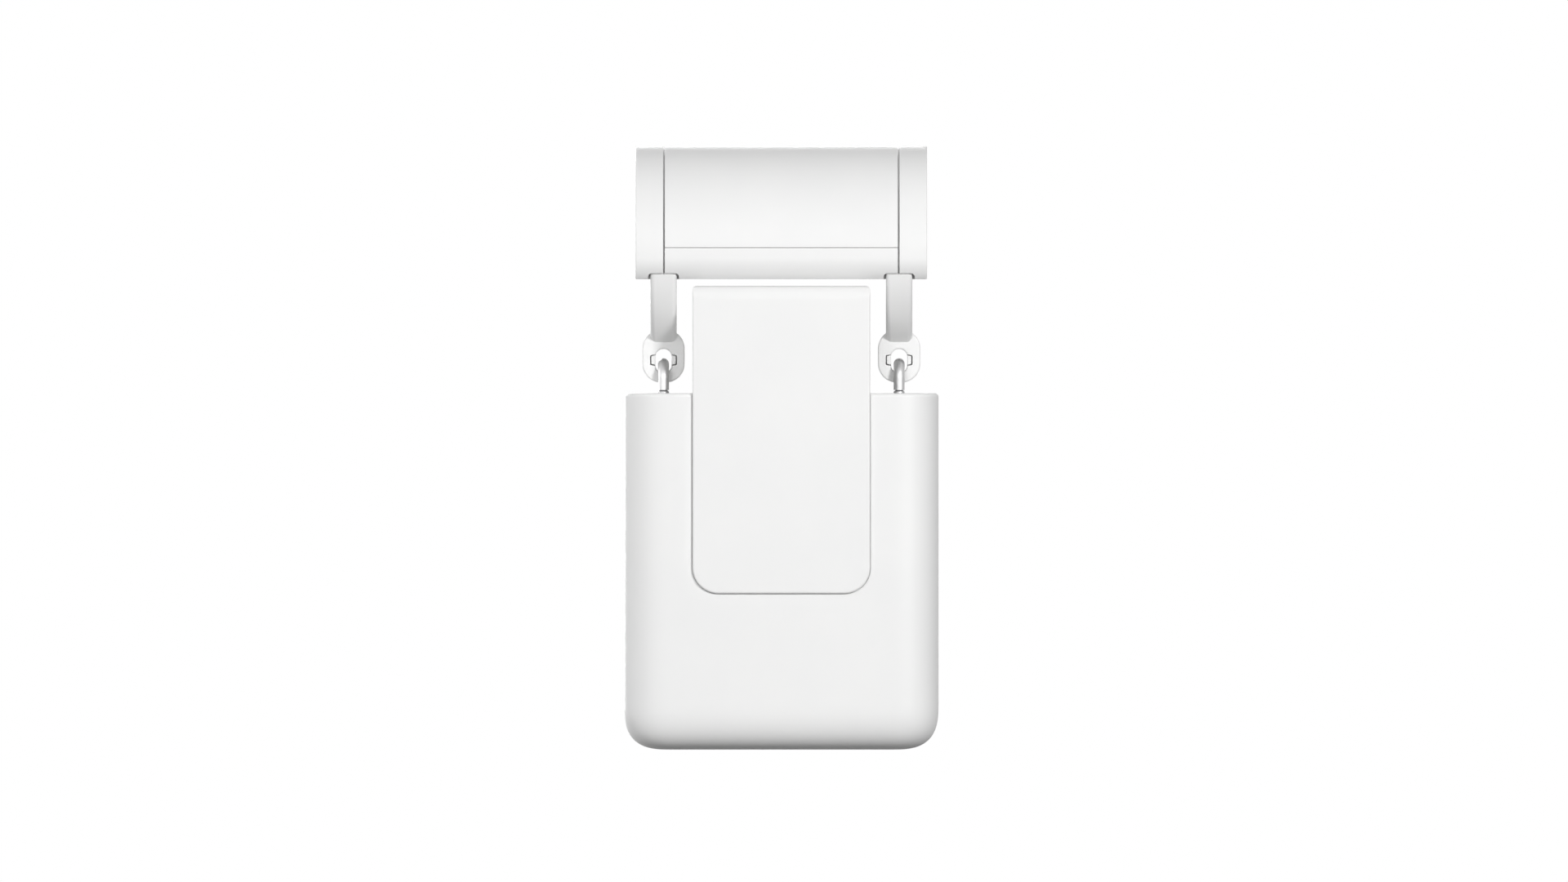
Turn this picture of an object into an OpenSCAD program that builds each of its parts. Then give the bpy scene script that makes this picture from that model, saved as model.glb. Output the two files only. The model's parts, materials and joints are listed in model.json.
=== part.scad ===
// Curtain robot that hangs on a rod: a saddle with rollers on top, a driven wheel below,
// and a body that sprung hooks pull up against the rod.
// Millimetres. The origin is on the rod's axis at mid-length, X runs along the rod,
// the front is -Y and up is +Z.

/* [Rod and lift] */
// Diameter of the thinnest rod, which is the one held at rest
rod_d = 22.4; // [21.6:0.2:23.2]
// How far the saddle and its hooks can rise for thicker rods
lift = 8; // [6:0.5:10]

/* [Saddle] */
// Length of the saddle along the rod
saddle_l = 69.5; // [68:0.5:72]
// Outer radius of the saddle about the rod's axis
saddle_r = 25.3; // [23:0.1:27.5]
// How far the lips reach below the rod's axis
lip_drop = 6.4; // [6:0.1:7]
// Radius that rolls the lips inwards
lip_r = 6.9; // [6:0.1:7.6]
// Depth below the rod's axis at which the lips start to roll inwards
lip_start = 1.3; // [1:0.1:1.6]
// Wall thickness of the saddle's mouldings
saddle_wall = 2; // [1.8:0.1:2.2]
// Distance of the two vertical seams from the middle
seam_x = 28; // [27.6:0.1:28.4]
// Width of the seams between the saddle's mouldings
seam_w = 0.3; // [0.2:0.05:0.4]
// Height of the horizontal seam above the rod's axis
base_seam_z = 1.1; // [0.9:0.1:1.4]
// Clear width of the rod passage
passage_w = 32; // [31.4:0.2:32.4]
// Air between the rod's top and the liner of the passage
passage_air = 1; // [0.8:0.1:1.4]

/* [Rollers] */
// Distance of each roller from the middle of the saddle
roller_x = 15; // [14:0.5:15.5]
// Air between a roller's rim and the cover above it
roller_air = 1.65; // [1.2:0.05:2]
// Length of a roller
roller_l = 12; // [11:0.5:12.5]
// Diameter of the roller axles
roller_axle_d = 3; // [2.6:0.2:3.2]
// Radius of the hollow that rollers and tyre share with the thickest rod
tread_r = 15; // [14.5:0.5:16]

/* [Arms and eyelets] */
// Distance of the arms and hooks from the middle
arm_x = 28.1; // [27.8:0.1:28.4]
// Width of an arm
arm_w = 6.3; // [6:0.1:6.6]
// Thickness of an arm and of its tab
arm_t = 3; // [2.8:0.1:3.1]
// How much smaller the arms' outer radius is than the saddle's, both about the rod's axis
arm_set = 0.75; // [0.7:0.05:1]
// Depth of the tab's top below the rod's axis
tab_drop = 18.45; // [18:0.05:19]
// Distance of the tab's front face from the rod's axis
tab_front = 12; // [11.6:0.1:12.6]
// Width of the tab
tab_w = 10.1; // [9.6:0.1:10.6]
// Height of the tab
tab_h = 12.6; // [12.2:0.1:13]
// Corner radius of the tab
tab_r = 4.5; // [4:0.1:4.8]
// Width of the eye in the tab
eye_w = 3.9; // [3.7:0.1:4.1]
// Height of the eye
eye_h = 5.7; // [5.5:0.1:6]
// Material left under the eye
eye_rim = 2.3; // [2.2:0.1:2.5]
// Width of the shallow slot across the eye
slot_w = 6.3; // [6:0.1:6.6]
// Height of the shallow slot
slot_h = 2.7; // [2.4:0.1:3]
// Depth of the shallow slot
slot_depth = 1; // [0.6:0.1:1.4]

/* [Hooks and springs] */
// Diameter of the hook wire
wire_d = 2.6; // [2.4:0.1:2.8]
// Bend radius of the hook on its centre line
hook_bend_r = 3.5; // [3.4:0.1:3.7]
// Straight end of the hook behind the tab
hook_tip = 1.5; // [1:0.1:1.6]
// Mean radius of a spring
spring_r = 2.9; // [2.7:0.1:3.1]
// Wire diameter of a spring
spring_wire = 0.8; // [0.7:0.05:0.9]
// Turns of a spring
spring_turns = 8; // [6:1:9]

/* [Body] */
// Width of the body
body_w = 75; // [68:0.5:82]
// Depth of the body without the plates
body_d = 50; // [45:0.5:55]
// Height of the body
body_h = 85; // [84.5:0.5:90]
// Depth of the body's top below the rod's underside
neck_rise = 22.4; // [22:0.1:23]
// Wall thickness of the body
wall = 2; // [1.8:0.1:2.2]
// Radius of the body's upright and lower edges
corner_r = 9; // [8:0.5:10]
// Thickness of the closing pieces in the body's top
cover_t = 2.4; // [2:0.1:2.8]

/* [Plates] */
// Width of the front and rear plates
plate_w = 42.4; // [42:0.1:43]
// Height of the plates
plate_h = 73.4; // [66.2:0.2:80]
// How far the plates rise above the body's top
plate_rise = 25.6; // [25:0.1:26]
// How far the plates stand proud of the body
plate_proud = 1; // [0.8:0.1:1.4]
// Radius of the plates' lower corners
plate_corner_r = 6.2; // [5:0.2:8]
// Radius that rolls the plates' upper edge back
plate_top_r = 2.3; // [1.6:0.1:2.6]
// Gap between a plate and the body round it
plate_gap = 0.25; // [0.15:0.05:0.35]

/* [Drive] */
// Width of the neck between the plates
neck_w = 41; // [40.6:0.1:41.6]
// Wall thickness of the drive frame
frame_wall = 2; // [1.8:0.1:2.2]
// Radius at which the tyre meets the rod
wheel_r = 14; // [13.6:0.1:14.2]
// Width of the tyre
tyre_w = 14; // [13:0.5:14.5]
// Thickness of the tyre at its waist
tyre_t = 3; // [2.5:0.1:3.5]
// Diameter of the wheel's axle
axle_d = 4; // [3.6:0.1:4.4]
// Outer diameter of the wheel's bearings
bearing_d = 9; // [8.6:0.1:9.4]
// Width of the wheel's bearings
bearing_w = 4; // [3.5:0.1:4.2]
// Module of the gears
gear_module = 0.8; // [0.78:0.01:0.82]
// Teeth of the wheel's gear
wheel_teeth = 24; // [22:1:25]
// Teeth of the idler gear
idler_teeth = 24; // [22:1:25]
// Teeth of the pinion on the motor shaft
pinion_teeth = 12; // [12:1:13]
// Width of the gears
gear_w = 4; // [3.5:0.1:4.2]
// Diameter of the idler's pin
idler_pin_d = 3; // [2.6:0.1:3.2]
// Diameter of the motor and its gearhead
motor_d = 24; // [22:0.5:24.5]
// Room between the motor and the front wall of the drive frame, for its terminals
motor_room = 1.9; // [1.7:0.1:3]
// Length of the gearhead
gearhead_l = 9.5; // [9:0.1:9.6]
// Diameter of the motor shaft
shaft_d = 3; // [2.6:0.1:3.2]

/* [Power and controls] */
// Diameter of a battery cell
cell_d = 18.4; // [18:0.1:18.6]
// Room at each end of the cells for the contacts and the tray
cell_room = 3; // [2.8:0.1:4]
// Thickness of the main board
main_board_t = 1.6; // [1.2:0.1:1.8]
// Thickness of the charging board
charge_board_t = 1.2; // [1:0.1:1.4]
// Distance of the button and the light from the middle of the underside
control_x = 13; // [12:0.5:14]
// Diameter of the button's face
button_d = 5.8; // [5.4:0.1:6]
// Travel of the button
button_travel = 0.5; // [0.4:0.05:0.6]
// Diameter of the light guide
light_d = 3; // [2.6:0.1:3.2]
// Length of the charging socket's mouth, front to back
usb_l = 8.94; // [8.9:0.02:9]
// Width of the charging socket's mouth
usb_w = 3.2; // [3.16:0.02:3.26]
// Width of the recess round the charging socket
port_recess_w = 7.1; // [6.6:0.1:8]
// Depth of that recess
port_recess_depth = 0.35; // [0.25:0.05:0.5]

/* [Hidden] */
$fn = 64;

// Clearances
run_fit = 0.05;      // a shaft that turns or slides in its bore
press_fit = 0.02;    // a pin or bush that is pushed home
part_gap = 0.1;      // two mouldings of one assembly, side by side
move_gap = 0.3;      // pieces that move past each other
through = 1;         // how far a cut runs past what it cuts
sides = [-1, 1];

// Screws, all of one family
screw_r = 1;
screw_head_r = 1.9;
screw_head_h = 1.1;
screw_bore_r = screw_r + 0.15;
screw_seat_r = screw_head_r + 0.2;
screw_grip = 4;
screw_hole_l = 5;
board_hole_l = 4.5;
screw_end_gap = 2;

// Levels of the body
rod_r = rod_d / 2;
body_top = -(rod_r + neck_rise);
body_bottom = body_top - body_h;
floor_z = body_bottom + wall;
inner_x = body_w / 2 - wall;
inner_y = body_d / 2 - wall;
plate_top = body_top + plate_rise;
plate_bottom = plate_top - plate_h;
plate_front = body_d / 2 + plate_proud;
plate_t = wall + plate_proud;

// Saddle
lip_centre_y = saddle_r - lip_r;
passage_r = passage_w / 2;
passage_top = rod_r + passage_air;
passage_z = passage_top - passage_r;
liner_r = passage_r + saddle_wall;
cover_inner_r = saddle_r - saddle_wall;
roller_flare = tread_r - sqrt(pow(tread_r, 2) - pow(roller_l / 2, 2));
roller_r = (cover_inner_r - rod_r - roller_flare - roller_air) / 2;
roller_z = rod_r + roller_r;
roller_axle_r = roller_axle_d / 2;
ear_t = 2.4;
ear_root = 8;
ear_half_w = roller_axle_r + 2;
ear_y = roller_l / 2 + 1.5;
roller_axle_l = 2 * (ear_y + ear_t);
tongue_l = 5.5;
tongue_half_w = 8;
tongue_t = 1.8;
saddle_screw_x = 5;
saddle_boss_r = 2.6;

// Arms, tabs and hooks, on the right at the front
arm_r = saddle_r - arm_set;
arm_foot = 2.2;
arm_toe = 1.4;
arm_foot_y = arm_r - arm_t - arm_toe;
arm_end_y = tab_front - arm_t + 0.6;
pocket_side = 0.55;
pocket_fit = 0.15;
tab_top = -tab_drop;
tab_bottom = tab_top - tab_h;
eye_bottom = tab_bottom + eye_rim;
eye_z = eye_bottom + eye_h / 2;
slot_z = eye_z + 0.2;
wire_r = wire_d / 2;
tab_mid_y = -(tab_front - arm_t / 2);
hook_y = tab_mid_y - hook_bend_r;
hook_inner_r = hook_bend_r - wire_r;
hook_z = eye_bottom + move_gap - sqrt(pow(hook_inner_r, 2) - pow(arm_t / 2, 2));
groove_z = body_top + 0.4;
groove_h = 0.4;
groove_depth = 0.25;

// Guides, springs and cups under the body's top
guide_r = wire_r + 1.3;
guide_drop = 5;
guide_boss_r = guide_r + 1.6;
spring_top = body_top - cover_t - guide_drop;
spring_packed = 12;
spring_l = lift + spring_packed;
spring_end_gap = 0.1;
cup_top = spring_top - spring_l;
cup_t = 2;
cup_r = spring_r + spring_wire / 2 + 0.5;
cup_bottom = cup_top - cup_t;
clip_r = wire_r + 1.1;
clip_t = 0.7;
shank_end = cup_bottom - clip_t - 0.9;
shelf_top = cup_bottom - 0.2;
shelf_hole_r = clip_r + 0.4;
shelf_bottom = shelf_top - frame_wall;
shelf_half_y = -hook_y + cup_r + 1;

// Drive
wheel_pitch_r = gear_module * wheel_teeth / 2;
idler_pitch_r = gear_module * idler_teeth / 2;
pinion_pitch_r = gear_module * pinion_teeth / 2;
pressure_angle = 25;
backlash = 0.16;
wheel_z = -(rod_r + wheel_r);
idler_z = wheel_z - wheel_pitch_r - idler_pitch_r;
motor_z = idler_z - idler_pitch_r - pinion_pitch_r;
axle_r = axle_d / 2;
bearing_r = bearing_d / 2;
bearing_boss_r = bearing_r + 2;
rim_r = wheel_r - tyre_t;
tyre_edge_r = wheel_r + tread_r - sqrt(pow(tread_r, 2) - pow(tyre_w / 2, 2)) - 0.2;
hub_wall = 2;
hub_boss_r = axle_r + hub_wall;
gear_y = tyre_w / 2 + 1.8;
gear_end = gear_y + gear_w;
bulkhead_y = gear_y - 1.3;
bulkhead_front = bulkhead_y - frame_wall;
cover_y = gear_end + 1.6;
cover_back = cover_y + frame_wall;
front_bearing_y = -(tyre_w / 2 + 3.8);
hub_end = -front_bearing_y - move_gap;

// Drive frame
frame_x = neck_w / 2;
frame_inner_x = frame_x - frame_wall;
frame_y = inner_y - part_gap;
frame_front = frame_y - frame_wall;
frame_top = plate_top - 1.5;
frame_bottom = motor_z - motor_d / 2 - 3.2;
deck_top = -rod_r - 1;
deck_t = 1.8;
trough_r = tread_r + 1.2;
wheel_room = tyre_edge_r + 0.6;
lug_half = 2.6;
cover_lug_x = frame_inner_x - 2.7;
cover_lug_step = 5;
cover_lug_zs = [wheel_z + cover_lug_step, frame_bottom + cover_lug_step];
plate_screw_x = 15.5;
plate_screw_drop = 3;
plate_screw_rise = 4;
plate_screw_zs = [body_top - plate_screw_drop, frame_bottom + plate_screw_rise];
plate_screw_l = frame_wall + part_gap + wall;
clip_zs = [body_top - 3, motor_z];
clip_l = 5;
clip_half_h = 2.5;
clip_w = 1.5;
top_lug_x = frame_x + 3.7;
top_lug_drop = 6;
post_set = 4;
post_x = inner_x - post_set;
post_r = 3;
post_drop = 10.5;
motor_screw_x = 8.5;
gearhead_boss_r = 5;

// Battery and boards
cell_r = cell_d / 2;
cell_l = 2 * (inner_x - cell_room);
cell_spacing = 1;
cell_y = cell_r + cell_spacing / 2;
cell_gap = 0.2;
board_room = 7;
charge_board_top = floor_z + board_room;
charge_board_bottom = charge_board_top - charge_board_t;
peg_h = 1.4;
peg_r = 2;
tray_t = 2;
tray_side = 0.6;
tray_bottom = charge_board_top + peg_h;
tray_half_w = cell_y + cell_r + tray_side;
cell_z = tray_bottom + tray_t + cell_r;
tray_top = cell_z - 2;
tab_t = 0.4;
tab_reach = 6;
tab_half_h = 4;
tab_leg_half = 3;
tab_clear = 1;
tray_end_x = cell_l / 2 + tab_t + 0.1;
tray_end_t = 1.6;
tray_end_top = cell_z + tab_half_h + tab_clear;
tray_leg_x = inner_x - corner_r - 2.5;
tray_leg_y = 14;
tray_leg_r = 3;
peg_x = control_x + 3;
peg_y = 6;
charge_board_x = peg_x + 3;
charge_board_y = peg_y + 3;
battery_cover_t = 2.2;
battery_cover_top = cell_z + cell_r + battery_cover_t;
battery_cover_x = cell_l / 2 - 2.5;
standoff_h = 5.4;
main_board_bottom = battery_cover_top + standoff_h;
main_board_top = main_board_bottom + main_board_t;
standoff_x = battery_cover_x - 4;
standoff_y = 15.5;
standoff_r = 2.5;
ribbon_w = 8;
ribbon_t = 0.4;
ribbon_y = tray_half_w + 0.3;
board_back = ribbon_y + ribbon_t;
board_front = -(inner_y - 2.5);
main_board_x = inner_x - 2.3;
plug_half_w = 6;
plug_depth = 4;
plug_h = 2.2;
lead_plug_half_w = 1.5;
lead_plug_h = 2;
radio_x = 16;
radio_w = 16;
radio_l = 14;
radio_t = 2.4;
lead_x = 4;
lead_r = 0.6;
lead_y = -(frame_front - 1);
terminal_half_w = 0.9;
terminal_h = 2;
motor_l = frame_front + bulkhead_front - gearhead_l - motor_room;
motor_rear = bulkhead_front - gearhead_l - motor_l;
terminal_z = motor_z - 3;

// Controls in the underside
usb_mouth_z = body_bottom + port_recess_depth + 0.35;
usb_lip = 0.3;
recess_l = 18;
button_r = button_d / 2;
button_flange_r = button_r + 1;
button_flange_z = floor_z + 0.2;
button_flange_t = 1;
button_stem_r = 1.5;
switch_half = 3;
switch_h = 2.8;
switch_bottom = charge_board_bottom - switch_h;
stem_top = switch_bottom + 0.6;
light_r = light_d / 2;

// Shape helpers

module block(x, y, z) {
    translate([x[0], y[0], z[0]])
        cube([x[1] - x[0], y[1] - y[0], z[1] - z[0]]);
}

// A round bar along X, Y or Z between two places
module bar_x(r, x, y = 0, z = 0) {
    translate([x[0], y, z]) rotate([0, 90, 0]) cylinder(r = r, h = x[1] - x[0]);
}
module bar_y(r, y, x = 0, z = 0) {
    translate([x, y[0], z]) rotate([-90, 0, 0]) cylinder(r = r, h = y[1] - y[0]);
}
module bar_z(r, z, x = 0, y = 0) {
    translate([x, y, z[0]]) cylinder(r = r, h = z[1] - z[0]);
}

// An outline in Y and Z carried along X, and one in X and Z carried along Y
module along_x(x) {
    translate([x[0], 0, 0]) rotate([90, 0, 90]) linear_extrude(x[1] - x[0]) children();
}
module along_y(y) {
    translate([0, y[1], 0]) rotate([90, 0, 0]) linear_extrude(y[1] - y[0]) children();
}

module rounded_rect(w, h, r) {
    square([w, h - 2 * r], center = true);
    square([w - 2 * r, h], center = true);
    for (x = sides, y = sides) translate([x * (w / 2 - r), y * (h / 2 - r)]) circle(r);
}

// A rectangle that stands on z, with its two lower corners rounded
module cup_outline(w, h, r, z) {
    translate([-w / 2, z + r]) square([w, h - r]);
    translate([-w / 2 + r, z]) square([w - 2 * r, h]);
    for (x = sides) translate([x * (w / 2 - r), z + r]) circle(r);
}

// What is drawn on the right at the front, put on side sx (-1 left) and sy (-1 front)
module placed(sx, sy) {
    mirror([sx < 0 ? 1 : 0, 0, 0]) mirror([0, sy > 0 ? 1 : 0, 0]) children();
}

// A screw whose head sits on z = 0, shank down
module screw(l) {
    bar_z(screw_head_r, [0, screw_head_h]);
    bar_z(screw_r, [-l, 0]);
}

// Involute gear outline with a tooth on the first axis
function involute_angle(a) = tan(a) * 180 / PI - a;
function flank_angle(r, rp, rb) =
    (PI * gear_module - backlash) / (4 * rp) * 180 / PI
    + involute_angle(pressure_angle) - involute_angle(acos(min(1, rb / r)));
function polar(r, a) = [r * cos(a), r * sin(a)];
function gear_points(teeth, rp, rb, root, tip, base, steps) = [
    for (i = [0 : teeth - 1])
        let (a = 360 * i / teeth, foot = flank_angle(base, rp, rb))
            each concat(
                [polar(root, a - foot)],
                [for (k = [0 : steps]) let (r = base + (tip - base) * k / steps)
                    polar(r, a - flank_angle(r, rp, rb))],
                [for (k = [steps : -1 : 0]) let (r = base + (tip - base) * k / steps)
                    polar(r, a + flank_angle(r, rp, rb))],
                [polar(root, a + foot)]
            )
];
module gear_outline(teeth, turn) {
    rp = gear_module * teeth / 2;
    rb = rp * cos(pressure_angle);
    root = rp - 1.25 * gear_module;
    rotate(turn)
        polygon(gear_points(teeth, rp, rb, root, rp + gear_module, max(rb, root + 0.01), 4));
}

// The body's rounded box, drawn in by inset and closed at top_z
module pouch(inset, top_z) {
    w = body_w - 2 * inset;
    d = body_d - 2 * inset;
    r = corner_r - inset;
    bottom = body_bottom + inset;
    h = top_z - bottom;
    intersection() {
        translate([0, 0, bottom]) linear_extrude(h) rounded_rect(w, d, r);
        along_y([-d, d]) cup_outline(w, h + through, r, bottom);
        along_x([-w, w]) cup_outline(d, h + through, r, bottom);
    }
}

// Outer outline of the saddle in Y and Z, lips rolled in and cut off level
module saddle_outline() {
    intersection() {
        union() {
            intersection() {
                circle(saddle_r);
                above(-lip_start / 2);
            }
            translate([-saddle_r, -lip_start]) square([2 * saddle_r, lip_start]);
            for (s = sides) translate([s * lip_centre_y, -lip_start]) circle(lip_r);
            translate([-lip_centre_y, -lip_drop]) square([2 * lip_centre_y, lip_drop]);
        }
        translate([-saddle_r, -lip_drop]) square([2 * saddle_r, saddle_r + lip_drop]);
    }
}

// Arch of the rod passage, grown by extra
module passage_outline(extra) {
    translate([0, passage_z]) circle(passage_r + extra);
    translate([-passage_r - extra, -lip_drop - through])
        square([passage_w + 2 * extra, lip_drop + through + passage_z]);
}
module above(z) {
    translate([-2 * saddle_r, z]) square([4 * saddle_r, 2 * saddle_r]);
}

// Band of an arm in Y and Z, round the rod's axis from its level down to depth low, grown by extra
module arm_band(low, end_y, extra) {
    intersection() {
        difference() {
            circle(arm_r + extra);
            circle(arm_r - arm_t - extra);
        }
        translate([-2 * saddle_r, -low]) square([2 * saddle_r - end_y, low]);
    }
}

// Pocket in a lip that takes an arm's root, open below
module arm_pocket() {
    x = [arm_x - arm_w / 2 - pocket_side, arm_x + arm_w / 2 + pocket_side];
    along_x(x) arm_band(lip_drop + through, arm_end_y, pocket_fit);
    block(x, [-(arm_r + pocket_fit), -(arm_foot_y - pocket_fit)], [-arm_foot, pocket_fit]);
}
module arm_pockets() {
    for (sx = sides, sy = sides) placed(sx, sy) arm_pocket();
}

// Saddle

module saddle_cover() {
    half = seam_x - seam_w / 2;
    color("white") difference() {
        union() {
            along_x([-half, half]) difference() {
                intersection() {
                    saddle_outline();
                    above(base_seam_z + part_gap);
                }
                circle(cover_inner_r);
            }
            for (s = sides)
                intersection() {
                    bar_z(saddle_boss_r, [passage_top + saddle_wall + part_gap, saddle_r],
                          s * saddle_screw_x);
                    bar_x(saddle_r - saddle_wall / 2, [-half, half]);
                }
        }
        for (s = sides) bar_z(screw_r + press_fit, [passage_top, cover_inner_r - 1], s * saddle_screw_x);
    }
}

module saddle_base() {
    half = seam_x - seam_w / 2;
    lip_x = arm_x - arm_w / 2 - pocket_side - saddle_wall;
    color("white") difference() {
        union() {
            along_x([-half, half]) difference() {
                union() {
                    difference() {
                        saddle_outline();
                        above(base_seam_z - part_gap);
                    }
                    intersection() {
                        passage_outline(saddle_wall);
                        above(-lip_drop);
                    }
                }
                passage_outline(0);
            }
            for (x = sides, y = sides)
                difference() {
                    block([x * roller_x - ear_half_w, x * roller_x + ear_half_w],
                          [min(y * ear_y, y * (ear_y + ear_t)), max(y * ear_y, y * (ear_y + ear_t))],
                          [roller_z - ear_root, roller_z + ear_half_w]);
                    along_x([-half, half]) passage_outline(saddle_wall / 2);
                }
        }
        arm_pockets();
        // Hollows in the lips keep their walls even
        for (y = sides)
            block([-lip_x, lip_x],
                  y < 0 ? [-cover_inner_r + 0.3, -liner_r] : [liner_r, cover_inner_r - 0.3],
                  [-lip_drop + saddle_wall + 1.4, saddle_r]);
        for (x = sides) {
            block([x * roller_x - roller_r - 1.9, x * roller_x + roller_r + 1.9],
                  [-ear_y, ear_y], [passage_z, saddle_r]);
            bar_y(roller_axle_r + press_fit, [-saddle_r, saddle_r], x * roller_x, roller_z);
            bar_z(screw_bore_r, [0, saddle_r], x * saddle_screw_x);
            bar_z(screw_seat_r, [0, passage_top + screw_head_h + 0.1], x * saddle_screw_x);
        }
    }
}

// End cap on the right; a tongue under the cover holds it
module end_cap() {
    inner = seam_x + seam_w / 2;
    outer = saddle_l / 2;
    difference() {
        along_x([inner, outer]) difference() {
            saddle_outline();
            passage_outline(0);
        }
        along_x([inner - through, outer - saddle_wall]) difference() {
            intersection() {
                circle(cover_inner_r);
                above(base_seam_z);
            }
            passage_outline(saddle_wall);
        }
        arm_pockets();
    }
    along_x([inner - tongue_l, outer - saddle_wall / 2]) intersection() {
        difference() {
            circle(cover_inner_r - part_gap);
            circle(cover_inner_r - part_gap - tongue_t);
        }
        translate([-tongue_half_w, 0]) square([2 * tongue_half_w, saddle_r]);
    }
}
module left_end_cap() { color("white") placed(-1, -1) end_cap(); }
module right_end_cap() { color("white") end_cap(); }

// Arm on the right at the front: root in the saddle, bend, and tab with its eye
module arm() {
    x = [arm_x - arm_w / 2, arm_x + arm_w / 2];
    difference() {
        union() {
            along_x(x) {
                arm_band(arm_r, arm_end_y, 0);
                translate([-(arm_r - arm_t / 2), -arm_foot + pocket_fit])
                    square([arm_t / 2 + arm_toe, arm_foot - pocket_fit]);
            }
            along_y([-tab_front, -tab_front + arm_t])
                translate([arm_x, (tab_top + tab_bottom) / 2]) rounded_rect(tab_w, tab_h, tab_r);
        }
        along_y([-tab_front - through, 0])
            translate([arm_x, eye_z]) rounded_rect(eye_w, eye_h, eye_w / 2 - 0.01);
        block([arm_x - slot_w / 2, arm_x + slot_w / 2],
              [-tab_front - through, -tab_front + slot_depth],
              [slot_z - slot_h / 2, slot_z + slot_h / 2]);
    }
}
module left_front_arm() { color("white") placed(-1, -1) arm(); }
module right_front_arm() { color("white") placed(1, -1) arm(); }
module left_rear_arm() { color("white") placed(-1, 1) arm(); }
module right_rear_arm() { color("white") placed(1, 1) arm(); }

// Roller or tyre section: hollow on the outside to sit round a rod
module tread_section(bore, waist, edge, l) {
    difference() {
        translate([bore, -l / 2]) square([edge - bore, l]);
        translate([waist + tread_r, 0]) circle(tread_r);
    }
}
module roller(s) {
    edge = roller_r + roller_flare;
    translate([s * roller_x, 0, roller_z]) rotate([90, 0, 0])
        rotate_extrude() tread_section(roller_axle_r + run_fit, roller_r, edge, roller_l);
}
module left_roller() { color("dimgray") roller(-1); }
module right_roller() { color("dimgray") roller(1); }
module roller_axles() {
    color("silver") for (s = sides)
        bar_y(roller_axle_r, [-roller_axle_l / 2, roller_axle_l / 2], s * roller_x, roller_z);
}
module saddle_screws() {
    l = cover_inner_r - passage_top - screw_head_h - screw_end_gap - 1;
    color("silver") for (s = sides)
        translate([s * saddle_screw_x, 0, passage_top + screw_head_h + 0.1]) rotate([180, 0, 0]) screw(l);
}

// Hooks on the right at the front: shank, bend over the tab's lower rim, short tip
module hook() {
    difference() {
        union() {
            bar_z(wire_r, [shank_end, hook_z], arm_x, hook_y);
            translate([arm_x, tab_mid_y, hook_z]) rotate([0, -90, 0]) rotate([0, 0, -90])
                rotate_extrude(angle = 180) translate([hook_bend_r, 0]) circle(wire_r);
            bar_z(wire_r, [hook_z - hook_tip + wire_r, hook_z], arm_x, tab_mid_y + hook_bend_r);
            translate([arm_x, tab_mid_y + hook_bend_r, hook_z - hook_tip + wire_r]) sphere(wire_r);
        }
        translate([arm_x, hook_y, groove_z]) difference() {
            cylinder(r = wire_r + through, h = groove_h);
            translate([0, 0, -through]) cylinder(r = wire_r - groove_depth, h = groove_h + 2 * through);
        }
    }
}
module left_front_hook() { color("silver") placed(-1, -1) hook(); }
module right_front_hook() { color("silver") placed(1, -1) hook(); }
module left_rear_hook() { color("silver") placed(-1, 1) hook(); }
module right_rear_hook() { color("silver") placed(1, 1) hook(); }

// Cup that the spring bears on, and the clip under it
module spring_cup() {
    translate([arm_x, hook_y, 0]) difference() {
        union() {
            bar_z(cup_r, [cup_bottom, cup_top]);
            bar_z(clip_r, [cup_bottom - clip_t, cup_bottom]);
        }
        bar_z(wire_r + press_fit, [shank_end, cup_top + through]);
    }
}
module left_front_cup() { color("gray") placed(-1, -1) spring_cup(); }
module right_front_cup() { color("gray") placed(1, -1) spring_cup(); }
module left_rear_cup() { color("gray") placed(-1, 1) spring_cup(); }
module right_rear_cup() { color("gray") placed(1, 1) spring_cup(); }

// Coil spring: rings of a round wire along a helix, joined into one tube
spring_steps = 8;
spring_sides = 6;
spring_rings = spring_turns * spring_steps;
spring_wire_r = spring_wire / 2;
spring_height = spring_l - 2 * spring_end_gap - spring_wire;
function spring_place(k) =
    [spring_r * cos(360 * k / spring_steps), spring_r * sin(360 * k / spring_steps),
     cup_top + spring_end_gap + spring_wire_r + spring_height * k / spring_rings];
function spring_ring(k) = let (a = 360 * k / spring_steps, c = spring_place(k)) [
    for (j = [0 : spring_sides - 1]) let (b = 360 * j / spring_sides)
        c + spring_wire_r * [cos(b) * cos(a), cos(b) * sin(a), sin(b)]
];
spring_points = [for (k = [0 : spring_rings]) each spring_ring(k)];
spring_faces = concat(
    [for (k = [0 : spring_rings - 1], j = [0 : spring_sides - 1])
        let (n = (j + 1) % spring_sides, a = k * spring_sides, b = a + spring_sides)
            each [[a + j, b + j, a + n], [a + n, b + j, b + n]]],
    [for (j = [1 : spring_sides - 2]) [0, j, j + 1]],
    [for (j = [1 : spring_sides - 2])
        let (a = spring_rings * spring_sides) [a, a + j + 1, a + j]]
);
spring_self_gap = min([
    for (k = [0 : spring_rings - spring_steps])
        norm(spring_place(k) - spring_place(k + spring_steps)) - spring_wire
]);
echo("least gap between spring turns", spring_self_gap);
module hook_springs() {
    color("silver") for (sx = sides, sy = sides)
        translate([sx * arm_x, sy * -hook_y, 0]) polyhedron(spring_points, spring_faces);
}

module hook_guides() {
    color("gray") for (sx = sides, sy = sides) placed(sx, sy) translate([arm_x, hook_y, 0])
        difference() {
            bar_z(guide_r, [spring_top, body_top - part_gap]);
            bar_z(wire_r + run_fit, [spring_top - through, body_top + through]);
        }
}

// Body

module plate_outline(extra) {
    cup_outline(plate_w + 2 * extra, plate_h + 2 * extra, plate_corner_r + extra, plate_bottom - extra);
}

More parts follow.
